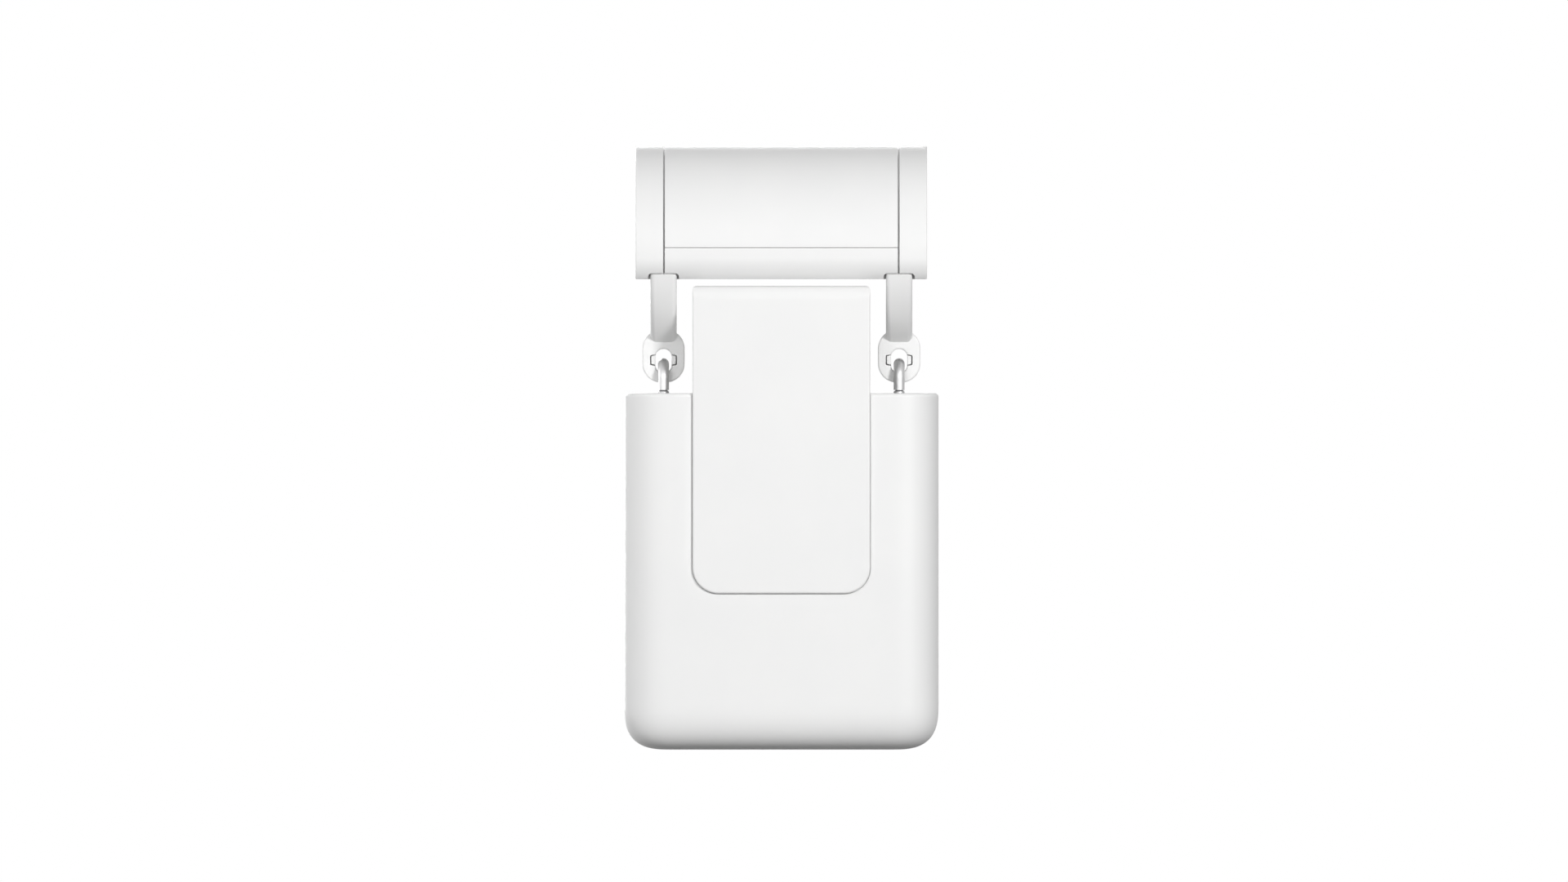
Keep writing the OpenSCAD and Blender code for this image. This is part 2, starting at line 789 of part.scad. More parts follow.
module main_shell() {
    color("white") difference() {
        union() {
            difference() {
                pouch(0, body_top);
                pouch(wall, body_top + through);
            }
            // Posts that carry the drive frame's shelves
            for (s = sides) {
                bar_z(post_r, [shelf_bottom - post_drop, shelf_bottom], s * post_x);
                block(s < 0 ? [-inner_x - wall / 2, -post_x] : [post_x, inner_x + wall / 2],
                      [-frame_wall / 2, frame_wall / 2], [shelf_bottom - post_drop, shelf_bottom]);
            }
        }
        for (y = sides)
            along_y(y < 0 ? [-body_d, -inner_y + part_gap / 2] : [inner_y - part_gap / 2, body_d])
                plate_outline(plate_gap);
        for (s = sides) bar_z(screw_r - 0.1, [shelf_bottom - post_drop + 1, 0], s * post_x);
        translate([0, 0, body_bottom - through]) {
            linear_extrude(port_recess_depth + through) rounded_rect(port_recess_w, recess_l, 1.5);
            linear_extrude(wall + 2 * through)
                rounded_rect(usb_w + 0.5, usb_l + 0.5, (usb_w + 0.5) / 2 - 0.01);
        }
        bar_z(button_r + 0.15, [body_bottom - through, floor_z + through], control_x);
        bar_z(light_r + part_gap, [body_bottom - through, floor_z + through], -control_x);
    }
}

// Front plate: its upper edge rolls back, its lower corners are rounded
module plate() {
    intersection() {
        along_y([-plate_front, -plate_front + plate_t]) plate_outline(0);
        along_x([-plate_w, plate_w]) {
            translate([-plate_front, plate_bottom]) square([plate_t, plate_h - plate_top_r]);
            translate([-plate_front + plate_top_r, plate_bottom]) square([plate_t - plate_top_r, plate_h]);
            translate([-plate_front + plate_top_r, plate_top - plate_top_r]) circle(plate_top_r);
        }
    }
}
module front_plate() {
    color("white") difference() {
        plate();
        for (s = sides, z = plate_screw_zs)
            bar_y(screw_r + press_fit, [-inner_y - wall, 0], s * plate_screw_x, z);
    }
}
// Rear plate: clips inside the frame's side walls hold it
module rear_plate() {
    color("white") {
        placed(1, 1) plate();
        for (s = sides, z = clip_zs)
            placed(s, -1)
                block([frame_inner_x - part_gap - clip_w, frame_inner_x - part_gap],
                      [inner_y - clip_l, inner_y + wall / 2], [z - clip_half_h, z + clip_half_h]);
    }
}

// Closing piece of the body's top on the right, with the bosses of two hooks
module top_cover() {
    inset = wall + part_gap;
    z = body_top - cover_t;
    difference() {
        union() {
            translate([0, 0, z]) linear_extrude(cover_t) intersection() {
                rounded_rect(body_w - 2 * inset, body_d - 2 * inset, corner_r - inset);
                translate([frame_x + part_gap, -body_d]) square([body_w, 2 * body_d]);
            }
            for (y = sides) bar_z(guide_boss_r, [spring_top, z + cover_t / 2], arm_x, y * hook_y);
        }
        for (y = sides)
            bar_z(guide_r + press_fit, [spring_top - through, body_top + through], arm_x, y * hook_y);
        bar_z(screw_bore_r, [z - through, body_top + through], top_lug_x);
        bar_z(screw_seat_r, [body_top - screw_head_h - part_gap, body_top + through], top_lug_x);
    }
}
module left_top_cover() { color("white") placed(-1, -1) top_cover(); }
module right_top_cover() { color("white") top_cover(); }

// Chassis: a channel whose upper end is the neck, with deck, bulkhead, shelves and lugs
module drive_frame() {
    lug_z = body_top - cover_t - part_gap;
    color("whitesmoke") difference() {
        union() {
            difference() {
                block([-frame_x, frame_x], [-frame_y, frame_y], [frame_bottom, frame_top]);
                block([-frame_inner_x, frame_inner_x], [-frame_front, frame_y + through],
                      [frame_bottom - through, frame_top + through]);
            }
            difference() {
                block([-frame_inner_x - 1, frame_inner_x + 1], [-frame_front - 1, frame_y],
                      [deck_top - deck_t, deck_top]);
                bar_y(wheel_room, [-tyre_w / 2 - 1, tyre_w / 2 + 1], 0, wheel_z);
            }
            difference() {
                block([-frame_inner_x - 1, frame_inner_x + 1], [bulkhead_front, bulkhead_y],
                      [frame_bottom, wheel_z]);
                bar_y(wheel_room, [bulkhead_front - through, bulkhead_y + through], 0, wheel_z);
            }
            bar_y(bearing_boss_r, [-frame_front - 1, front_bearing_y], 0, wheel_z);
            for (s = sides) placed(s, -1) {
                for (z = cover_lug_zs)
                    block([cover_lug_x - lug_half, frame_inner_x + 1], [bulkhead_y, cover_y],
                          [z - lug_half, z + lug_half]);
                block([frame_x - 1, top_lug_x + lug_half], [-lug_half, lug_half],
                      [lug_z - top_lug_drop, lug_z]);
                block([frame_x - 1, inner_x - 1], [-shelf_half_y, shelf_half_y], [shelf_bottom, shelf_top]);
            }
        }
        // Trough under the rod
        bar_x(trough_r, [-body_w, body_w], 0, deck_top + trough_r + 0.02);
        bar_y(bearing_r + press_fit, [front_bearing_y - bearing_w, front_bearing_y + through], 0, wheel_z);
        bar_y(axle_r + 0.3, [front_bearing_y - bearing_w - 1.5, front_bearing_y], 0, wheel_z);
        bar_y(idler_pin_d / 2 + press_fit, [bulkhead_front - through, bulkhead_y + through], 0, idler_z);
        bar_y(gearhead_boss_r + part_gap, [bulkhead_front - through, bulkhead_y + through], 0, motor_z);
        for (s = sides) {
            bar_y(screw_bore_r, [bulkhead_front - through, bulkhead_y + through], s * motor_screw_x, motor_z);
            for (z = cover_lug_zs)
                bar_y(screw_r + press_fit, [bulkhead_y + 1, cover_y + through], s * cover_lug_x, z);
            for (z = plate_screw_zs)
                bar_y(screw_bore_r, [-frame_y - through, -frame_front + through], s * plate_screw_x, z);
            bar_z(screw_r + press_fit, [lug_z - top_lug_drop + 0.5, lug_z + through], s * top_lug_x);
            bar_z(screw_bore_r, [shelf_bottom - through, shelf_top + through], s * post_x);
            for (y = sides)
                bar_z(shelf_hole_r, [shelf_bottom - through, shelf_top + through], s * arm_x, y * hook_y);
        }
    }
}

module gear_cover() {
    top = deck_top - deck_t - part_gap;
    color("gray") difference() {
        union() {
            block([-frame_inner_x + part_gap, frame_inner_x - part_gap], [cover_y, cover_back],
                  [frame_bottom, top]);
            bar_y(bearing_boss_r, [cover_y, cover_y + bearing_w + 1], 0, wheel_z);
        }
        bar_y(bearing_r + press_fit, [cover_y - through, cover_y + bearing_w], 0, wheel_z);
        bar_y(axle_r + 0.3, [cover_y, cover_y + bearing_w + 2], 0, wheel_z);
        bar_y(idler_pin_d / 2 + press_fit, [cover_y - through, cover_back + through], 0, idler_z);
        bar_y(shaft_d / 2 + 0.3, [cover_y - through, cover_back + through], 0, motor_z);
        for (s = sides, z = cover_lug_zs)
            bar_y(screw_bore_r, [cover_y - through, cover_back + through], s * cover_lug_x, z);
        // Room for the rear plate's clips
        for (s = sides, z = clip_zs)
            placed(s, -1)
                block([frame_inner_x - clip_w - 3 * part_gap, frame_x],
                      [inner_y - clip_l - move_gap, body_d],
                      [z - clip_half_h - move_gap, z + clip_half_h + move_gap]);
    }
}

// Fasteners

module cover_screws() {
    color("silver") for (s = sides)
        translate([s * top_lug_x, 0, body_top - screw_head_h - part_gap])
            screw(cover_t + top_lug_drop - screw_end_gap);
}
module chassis_screws() {
    color("silver") for (s = sides)
        translate([s * post_x, 0, shelf_top]) bar_z(screw_head_r, [0, screw_head_h]);
    color("silver") for (s = sides)
        bar_z(screw_r - 0.12, [shelf_bottom - post_drop + 2, shelf_top], s * post_x);
}
module plate_screws() {
    color("silver") for (s = sides, z = plate_screw_zs)
        translate([s * plate_screw_x, -frame_front, z]) rotate([-90, 0, 0]) screw(plate_screw_l - 0.3);
}
module gear_cover_screws() {
    color("silver") for (s = sides, z = cover_lug_zs)
        translate([s * cover_lug_x, cover_back, z]) rotate([-90, 0, 0]) screw(frame_wall + screw_grip);
}
module motor_screws() {
    color("silver") for (s = sides)
        translate([s * motor_screw_x, bulkhead_y, motor_z]) rotate([-90, 0, 0])
            screw(frame_wall + screw_grip);
}
module board_screws() {
    color("silver") {
        for (x = sides, y = sides) {
            translate([x * standoff_x, y * standoff_y, main_board_top]) screw(main_board_t + screw_grip);
            translate([x * peg_x, y * peg_y, charge_board_bottom])
                rotate([180, 0, 0]) screw(charge_board_t + peg_h + 1);
        }
    }
}

// Drive

module wheel_hub() {
    hole_ring = (hub_boss_r + rim_r - 2) / 2;
    color("whitesmoke") difference() {
        union() {
            difference() {
                bar_y(rim_r - press_fit, [-tyre_w / 2, tyre_w / 2], 0, wheel_z);
                bar_y(rim_r - 2, [-tyre_w, tyre_w], 0, wheel_z);
            }
            bar_y(rim_r - 1, [-1.5, 1.5], 0, wheel_z);
            bar_y(hub_boss_r, [-hub_end, gear_y], 0, wheel_z);
        }
        bar_y(axle_r + press_fit, [-body_d, body_d], 0, wheel_z);
        for (a = [0 : 60 : 300])
            bar_y(1.6, [-3, 3], hole_ring * cos(a), wheel_z + hole_ring * sin(a));
    }
}
module wheel_tyre() {
    color("dimgray") translate([0, 0, wheel_z]) rotate([90, 0, 0])
        rotate_extrude($fn = 96) tread_section(rim_r, wheel_r, tyre_edge_r, tyre_w);
}
module wheel_axle() {
    color("silver")
        bar_y(axle_r, [front_bearing_y - bearing_w - 1, cover_y + bearing_w + 0.6], 0, wheel_z);
}
module wheel_bearings() {
    color("silver") for (y = [front_bearing_y - bearing_w, cover_y]) difference() {
        bar_y(bearing_r, [y, y + bearing_w], 0, wheel_z);
        bar_y(axle_r + run_fit, [y - through, y + bearing_w + through], 0, wheel_z);
    }
}
module wheel_gear() {
    color("ivory") difference() {
        union() {
            along_y([gear_y, gear_end]) translate([0, wheel_z]) gear_outline(wheel_teeth, -90);
            bar_y(hub_boss_r, [gear_end - 1, cover_y - move_gap], 0, wheel_z);
        }
        bar_y(axle_r + press_fit, [-body_d, body_d], 0, wheel_z);
    }
}
// The idler turns a gap up to the wheel's lowest tooth
module idler_gear() {
    hub_r = idler_pin_d / 2 + hub_wall;
    color("ivory") difference() {
        union() {
            along_y([gear_y, gear_end]) translate([0, idler_z])
                gear_outline(idler_teeth, 90 + 180 / idler_teeth);
            bar_y(hub_r, [bulkhead_y + move_gap, cover_y - move_gap], 0, idler_z);
        }
        bar_y(idler_pin_d / 2 + run_fit, [-body_d, body_d], 0, idler_z);
    }
}
module idler_pin() {
    color("silver") bar_y(idler_pin_d / 2, [bulkhead_front, cover_back], 0, idler_z);
}
// An odd idler shows the pinion a tooth where an even one shows a gap
module drive_pinion() {
    turn = 90 + (idler_teeth % 2) * 180 / pinion_teeth;
    color("ivory") difference() {
        along_y([gear_y, gear_end]) translate([0, motor_z]) gear_outline(pinion_teeth, turn);
        bar_y(shaft_d / 2 + press_fit, [-body_d, body_d], 0, motor_z);
    }
}
module motor_shaft() {
    color("silver") bar_y(shaft_d / 2, [bulkhead_front - gearhead_l / 2, cover_back], 0, motor_z);
}
module gearhead() {
    color("gray") difference() {
        union() {
            bar_y(motor_d / 2, [bulkhead_front - gearhead_l, bulkhead_front], 0, motor_z);
            bar_y(gearhead_boss_r, [bulkhead_front - 1, bulkhead_y + 0.4], 0, motor_z);
        }
        bar_y(shaft_d / 2 + run_fit, [bulkhead_front - gearhead_l / 2 - 0.3, body_d], 0, motor_z);
        for (s = sides)
            bar_y(screw_r + press_fit, [bulkhead_front - screw_hole_l, bulkhead_front + through],
                  s * motor_screw_x, motor_z);
    }
}
module motor_can() {
    color("silver") {
        bar_y(motor_d / 2 - 0.4, [motor_rear, motor_rear + motor_l], 0, motor_z);
        for (s = sides)
            block([s * lead_x - terminal_half_w, s * lead_x + terminal_half_w],
                  [lead_y - lead_r, motor_rear + through], [terminal_z, terminal_z + terminal_h]);
    }
}

// Power and electronics

module cell_bars(r, l) {
    for (s = sides) bar_x(r, [-l / 2, l / 2], s * cell_y, cell_z);
}
module battery_cells() { color("steelblue") cell_bars(cell_r, cell_l); }
// End plates that join the cells, with a leg up to the main board
module battery_tabs() {
    x = cell_l / 2;
    color("silver") for (s = sides) placed(s, -1) {
        block([x, x + tab_t], [-cell_y - tab_reach, cell_y + tab_reach],
              [cell_z - tab_half_h, cell_z + tab_half_h]);
        block([x, x + tab_t], [-cell_y - tab_leg_half, -cell_y + tab_leg_half], [cell_z, main_board_bottom]);
    }
}
module battery_tray() {
    end = tray_end_x + tray_end_t;
    end_half_y = cell_y + tab_reach + 2 * tab_clear;
    color("dimgray") difference() {
        union() {
            block([-tray_end_x, tray_end_x], [-tray_half_w, tray_half_w], [tray_bottom, tray_top]);
            block([-end, end], [-end_half_y, end_half_y], [tray_bottom, tray_top]);
            for (s = sides) placed(s, -1)
                block([tray_end_x, end], [-end_half_y, end_half_y], [tray_bottom, tray_end_top]);
            for (x = sides, y = sides) {
                bar_z(tray_leg_r, [floor_z + part_gap, tray_bottom + 1], x * tray_leg_x, y * tray_leg_y);
                bar_z(peg_r, [charge_board_top, tray_bottom + 1], x * peg_x, y * peg_y);
            }
        }
        cell_bars(cell_r + cell_gap, 2 * tray_end_x);
        block([-tray_end_x, tray_end_x], [-cell_y, cell_y], [cell_z - cell_r / 2, cell_z]);
        for (s = sides) placed(s, -1)
            block([cell_l / 2 - 0.1, tray_end_x],
                  [-cell_y - tab_reach - tab_clear, cell_y + tab_reach + tab_clear],
                  [cell_z - tab_half_h - tab_clear, tray_end_top + through]);
        for (x = sides, y = sides)
            bar_z(screw_r + press_fit, [charge_board_bottom, tray_bottom + 1.2], x * peg_x, y * peg_y);
    }
}
module battery_cover() {
    y = cell_y + cell_r - 1;
    color("dimgray") difference() {
        union() {
            block([-battery_cover_x, battery_cover_x], [-y, y], [cell_z + cell_r / 2, battery_cover_top]);
            for (x = sides, s = sides)
                bar_z(standoff_r, [cell_z + cell_r, main_board_bottom], x * standoff_x, s * standoff_y);
        }
        cell_bars(cell_r + cell_gap, cell_l);
        for (x = sides, s = sides)
            bar_z(screw_r + press_fit, [main_board_bottom - board_hole_l, main_board_bottom + through],
                  x * standoff_x, s * standoff_y);
    }
}
module main_board() {
    color("darkgreen") difference() {
        union() {
            block([-main_board_x, main_board_x], [board_front, board_back],
                  [main_board_bottom, main_board_top]);
            block([-plug_half_w, plug_half_w], [ribbon_y - plug_depth - 1, ribbon_y - 1],
                  [main_board_bottom - plug_h, main_board_top - main_board_t / 2]);
            for (s = sides)
                block([s * lead_x - lead_plug_half_w, s * lead_x + lead_plug_half_w],
                      [lead_y + lead_r + 0.2, lead_y + lead_r + plug_depth],
                      [main_board_top - main_board_t / 2, main_board_top + lead_plug_h]);
        }
        for (x = sides, y = sides)
            bar_z(screw_bore_r, [main_board_bottom - through, main_board_top + through],
                  x * standoff_x, y * standoff_y);
    }
}
module radio_module() {
    color("silver") block([-radio_x - radio_w / 2, -radio_x + radio_w / 2], [-radio_l / 2, radio_l / 2],
                          [main_board_top, main_board_top + radio_t]);
}
module charge_board() {
    led_t = 0.7;
    led_half = 0.8;
    color("darkgreen") difference() {
        union() {
            block([-charge_board_x, charge_board_x], [-charge_board_y, charge_board_y],
                  [charge_board_bottom, charge_board_top]);
            block([-plug_half_w, plug_half_w], [0, board_back], [charge_board_bottom, charge_board_top]);
            block([-control_x - led_half, -control_x + led_half], [-led_half, led_half],
                  [charge_board_bottom - led_t, charge_board_top - charge_board_t / 2]);
        }
        for (x = sides, y = sides)
            bar_z(screw_bore_r, [charge_board_bottom - through, charge_board_top + through],
                  x * peg_x, y * peg_y);
    }
}
module ribbon_cable() {
    color("white") block([-ribbon_w / 2, ribbon_w / 2], [ribbon_y, ribbon_y + ribbon_t],
                         [charge_board_top, main_board_bottom]);
}
module motor_leads() {
    color("firebrick") for (s = sides) bar_z(lead_r, [main_board_top, terminal_z], s * lead_x, lead_y);
}
module button_switch() {
    color("black") difference() {
        block([control_x - switch_half, control_x + switch_half], [-switch_half, switch_half],
              [switch_bottom, charge_board_bottom]);
        bar_z(button_stem_r + 0.15, [switch_bottom - through, stem_top + button_travel + 0.2], control_x);
    }
}
module button() {
    color("white") translate([control_x, 0, 0]) {
        bar_z(button_r, [body_bottom + 0.1, button_flange_z + 0.5]);
        bar_z(button_flange_r, [button_flange_z, button_flange_z + button_flange_t]);
        bar_z(button_stem_r, [button_flange_z + 0.5, stem_top]);
    }
}
module light_guide() {
    color("lightcyan") translate([-control_x, 0, 0]) {
        bar_z(light_r, [body_bottom + 0.1, charge_board_bottom - 0.8]);
        bar_z(light_r + 0.9, [floor_z, floor_z + 0.8]);
    }
}
module usb_socket() {
    inside = usb_mouth_z - through;
    color("silver") {
        difference() {
            translate([0, 0, usb_mouth_z]) linear_extrude(charge_board_bottom - usb_mouth_z)
                rounded_rect(usb_w, usb_l, usb_w / 2 - 0.01);
            translate([0, 0, inside]) linear_extrude(charge_board_bottom - 0.7 - inside)
                rounded_rect(usb_w - 2 * usb_lip, usb_l - 2 * usb_lip, usb_w / 2 - usb_lip - 0.01);
        }
        block([-0.35, 0.35], [-3.35, 3.35], [usb_mouth_z + 1, charge_board_bottom - 0.4]);
    }
}

saddle_cover();
saddle_base();
left_end_cap();
right_end_cap();
left_front_arm();
right_front_arm();
left_rear_arm();
right_rear_arm();
left_roller();
right_roller();
roller_axles();
saddle_screws();
left_front_hook();
right_front_hook();
left_rear_hook();
right_rear_hook();
left_front_cup();
right_front_cup();
left_rear_cup();
right_rear_cup();
hook_springs();
hook_guides();
main_shell();
front_plate();
rear_plate();
left_top_cover();
right_top_cover();
drive_frame();
gear_cover();
cover_screws();
chassis_screws();
plate_screws();
gear_cover_screws();
motor_screws();
board_screws();
wheel_hub();
wheel_tyre();
wheel_axle();
wheel_bearings();
wheel_gear();
idler_gear();
idler_pin();
drive_pinion();
motor_shaft();
gearhead();
motor_can();
battery_cells();
battery_tabs();
battery_tray();
battery_cover();
main_board();
radio_module();
charge_board();
ribbon_cable();
motor_leads();
button_switch();
button();
light_guide();
usb_socket();
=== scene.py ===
"""Smart curtain robot: the dressed model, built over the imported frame.

Lengths of pieces are in millimetres until new_piece() puts them into a mesh. X runs along the saddle's
axis, where the origin lies at mid-length, the front looks along -Y and up is +Z, as in the frame.
"""
import json

import bmesh
import bpy
import numpy as np
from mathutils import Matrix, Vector
from mathutils.geometry import tessellate_polygon


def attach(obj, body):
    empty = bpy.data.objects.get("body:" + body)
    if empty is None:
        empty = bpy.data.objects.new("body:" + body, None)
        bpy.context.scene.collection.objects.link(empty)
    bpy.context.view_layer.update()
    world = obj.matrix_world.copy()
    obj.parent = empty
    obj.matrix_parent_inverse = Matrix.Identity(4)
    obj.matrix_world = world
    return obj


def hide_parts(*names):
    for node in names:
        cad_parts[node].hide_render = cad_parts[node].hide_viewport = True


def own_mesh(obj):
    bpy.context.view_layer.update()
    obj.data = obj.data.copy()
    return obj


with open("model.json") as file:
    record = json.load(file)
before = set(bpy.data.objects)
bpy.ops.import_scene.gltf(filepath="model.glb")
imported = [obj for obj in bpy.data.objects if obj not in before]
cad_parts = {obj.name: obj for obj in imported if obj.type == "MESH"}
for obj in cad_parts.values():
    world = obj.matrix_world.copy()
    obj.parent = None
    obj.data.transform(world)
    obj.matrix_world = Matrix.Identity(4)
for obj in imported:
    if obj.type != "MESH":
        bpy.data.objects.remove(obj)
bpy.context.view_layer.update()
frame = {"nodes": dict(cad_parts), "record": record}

MM = 0.001
WELD = 2e-7
CORNER_TURN = 25.0
CREASE = 38.0
NORMAL_WEIGHT = 80
COLUMNS = {"x": (2, 0, 1), "y": (0, 2, 1), "z": (0, 1, 2)}


# Outlines: closed loops of (u, v) points with the material on the left of the travel

def unit(vectors):
    """Vectors divided by their lengths."""
    length = np.linalg.norm(vectors, axis=-1, keepdims=True)
    return vectors / np.maximum(length, 1e-12)


def superquarter(steps, power=2.0):
    """Quarter of a superellipse from (1, 0) to (0, 1): u = cos(t)^(2/n), v = sin(t)^(2/n)."""
    t = np.linspace(0.0, np.pi / 2, steps + 1)
    t[-1] = np.pi / 2 - 1e-12
    return np.column_stack([np.cos(t) ** (2 / power), np.sin(t) ** (2 / power)])


def thinned(loop):
    """The loop without points that repeat the one before."""
    step = np.linalg.norm(loop - np.roll(loop, 1, 0), axis=1)
    return loop[step > 1e-6]


def four_quarters(quarter):
    """A closed loop from its first quarter, mirrored into the other three."""
    return np.concatenate([quarter, quarter[::-1] * (-1, 1), -quarter, quarter[::-1] * (1, -1)])


def rounded_rect(half_w, half_h, corner, steps=8, centre=(0.0, 0.0)):
    """Four quarter-circles set on the corners of a rectangle smaller by the corner's size."""
    quarter = np.array([half_w, half_h]) - corner + superquarter(steps) * corner
    return thinned(four_quarters(quarter) + np.array(centre))


def arc(centre, r, start, end, steps):
    """Points centre + r (cos a, sin a) for a from start to end, in degrees."""
    a = np.radians(np.linspace(start, end, steps + 1))
    return np.array(centre) + r * np.column_stack([np.cos(a), np.sin(a)])


def circle(r, centre=(0.0, 0.0), steps=48):
    """A full arc without its repeated last point."""
    return arc(centre, r, 0.0, 360.0, steps)[:-1]


def mirrored(line):
    """A line of points on the other side of u = 0, run the other way."""
    return (line * (-1, 1))[::-1]


def soften(loop, r, steps=4):
    """Corners that turn by more than CORNER_TURN degrees become arcs of radius r, tangent to both sides:
    each starts r tan(w / 2) before a corner that turns by w."""
    before = unit(loop - np.roll(loop, 1, 0))
    after = unit(np.roll(loop, -1, 0) - loop)
    cross = before[:, 0] * after[:, 1] - before[:, 1] * after[:, 0]
    angle = np.arctan2(cross, (before * after).sum(1))
    out = []
    for point, along, w, size in zip(loop, before, angle, np.broadcast_to(r, len(loop))):
        if abs(w) < np.radians(CORNER_TURN) or size <= 0:
            out.append(point[None])
            continue
        start = point - along * size * np.tan(abs(w) / 2)
        left = np.array([-along[1], along[0]]) * np.sign(w)
        t = np.linspace(0.0, w, steps + 1)
        spoke = -left * size
        turned = np.column_stack([spoke[0] * np.cos(t) - spoke[1] * np.sin(t),
                                  spoke[0] * np.sin(t) + spoke[1] * np.cos(t)])
        out.append(start + left * size + turned)
    return thinned(np.concatenate(out))


def inset(loop, depth):
    """Each point moved to the left by depth: along the sum m of its two sides' normals, over |m|^2 / 2."""
    side = unit(np.roll(loop, -1, 0) - loop)
    normal = np.column_stack([-side[:, 1], side[:, 0]])
    mean = normal + np.roll(normal, 1, 0)
    mean /= np.maximum((mean * mean).sum(1, keepdims=True) / 2, 0.3)
    return loop + mean * np.reshape(depth, (-1, 1))


def edge_stops(low, high, r_low=0.0, r_high=0.0, steps=5):
    """(inset, height) from one end to the other, with a quarter-round on each end: r (1 - sin t) in, and
    r (1 - cos t) from the end."""
    t = np.linspace(0.0, np.pi / 2, steps + 1)
    first = [(r_low * (1 - np.sin(a)), low + r_low * (1 - np.cos(a))) for a in t]
    last = [(r_high * (1 - np.sin(a)), high - r_high * (1 - np.cos(a))) for a in t[::-1]]
    return (first if np.any(r_low) else first[:1]) + (last if np.any(r_high) else last[-1:])


def flare_stops(mouth, end, r, beyond):
    """(inset, height) of a cutter that leaves a quarter-round of radius r at a hole's mouth and starts a
    distance beyond it: at depth d the hole is wider by r - sqrt(r^2 - (r - d)^2)."""
    way = np.sign(end - mouth)
    depth = r * (1 - np.cos(np.linspace(0.0, np.pi / 2, 5)))
    wider = r - np.sqrt(np.maximum(r * r - (r - depth) ** 2, 0.0))
    stops = [(-r, mouth - way * beyond)]
    stops += [(-w, mouth + way * d) for w, d in zip(wider, depth)]
    return stops + [(0.0, end)]


# Surfaces: (points, blocks of faces)

def ring_faces(rows, columns):
    """Quads between neighbouring rings, each ring closed on itself."""
    at = np.arange(rows * columns).reshape(rows, columns)
    right = np.roll(at, -1, 1)
    return np.stack([at[:-1], right[:-1], right[1:], at[1:]], -1).reshape(-1, 4)


def fill_faces(loops, first):
    """Triangles over the flat region that the loops bound."""
    flat = [[Vector((u, v, 0.0)) for u, v in loop] for loop in loops]
    numbers = np.concatenate([np.arange(len(loop)) + at for loop, at in zip(loops, first)])
    return numbers[np.array(tessellate_polygon(flat))]


def stacked(ring_sets, axis="z"):
    """Walls through each set of rings (u, v, h), and a flat fill across all sets at both ends."""
    sizes = [rings.shape[0] * rings.shape[1] for rings in ring_sets]
    first = np.cumsum([0] + sizes[:-1])
    faces = [ring_faces(*rings.shape[:2]) + at for rings, at in zip(ring_sets, first)]
    for end in (0, -1):
        starts = [at + (end % len(rings)) * rings.shape[1] for rings, at in zip(ring_sets, first)]
        faces.append(fill_faces([rings[end][:, :2] for rings in ring_sets], starts))
    points = np.concatenate([rings.reshape(-1, 3) for rings in ring_sets])
    return points[:, COLUMNS[axis]], faces


def prism(loops, stops, axis="z"):
    """Outlines carried along an axis, inset at each stop."""
    sets = []
    for loop in loops:
        rings = [np.column_stack([inset(loop, depth), np.broadcast_to(height, len(loop))])
                 for depth, height in stops]
        sets.append(np.stack(rings))
    return stacked(sets, axis)


def revolve(profile, axis="z", centre=(0.0, 0.0, 0.0), steps=72):
    """A profile (r, h) turned about an axis: (r cos a, r sin a, h)."""
    a = np.linspace(0.0, 2 * np.pi, steps, endpoint=False)
    r, h = np.asarray(profile, float).T
    rings = np.stack([np.outer(r, np.cos(a)), np.outer(r, np.sin(a)),
                      np.outer(h, np.ones(steps))], -1)
    points = rings.reshape(-1, 3)[:, COLUMNS[axis]] + np.array(centre)
    return points, [ring_faces(len(r), steps)]


def tube(path, tangent, radius, side, steps):
    """Circles of the given radius round the path's points, square to the tangent: r (cos a) side +
    r (sin a) (tangent x side)."""
    a = np.linspace(0.0, 2 * np.pi, steps, endpoint=False)[None, :, None]
    side = np.broadcast_to(side, path.shape)
    up = np.cross(tangent, side)
    rings = path[:, None] + np.asarray(radius)[:, None, None] * (
        np.cos(a) * side[:, None] + np.sin(a) * up[:, None])
    return rings.reshape(-1, 3), [ring_faces(len(path), steps)]


def joined(*surfaces):
    """Several surfaces as one."""
    points, faces, at = [], [], 0
    for xyz, blocks in surfaces:
        points.append(xyz)
        faces += [block + at for block in blocks]
        at += len(xyz)
    return np.concatenate(points), faces


def flipped(surface, flip, place=(0.0, 0.0, 0.0)):
    """A surface with its coordinates multiplied, as (-1, 1, 1) for its twin on the other side, and moved
    to its place."""
    return surface[0] * np.array(flip, float) + np.array(place), surface[1]


# Pieces

def tidy(mesh):
    """Doubles merged and faces turned outwards."""
    work = bmesh.new()
    work.from_mesh(mesh)
    bmesh.ops.remove_doubles(work, verts=work.verts, dist=WELD)
    bmesh.ops.dissolve_degenerate(work, edges=work.edges, dist=WELD)
    bmesh.ops.recalc_face_normals(work, faces=work.faces)
    if work.calc_volume(signed=True) < 0:
        bmesh.ops.reverse_faces(work, faces=work.faces)
    work.to_mesh(mesh)
    work.free()


def new_piece(name, surface):
    """A mesh object at the origin."""
    points, blocks = surface
    mesh = bpy.data.meshes.new(name)
    mesh.from_pydata(points * MM, [], [face for block in blocks for face in block.tolist()])
    tidy(mesh)
    piece = bpy.data.objects.new(name, mesh)
    bpy.context.scene.collection.objects.link(piece)
    return piece


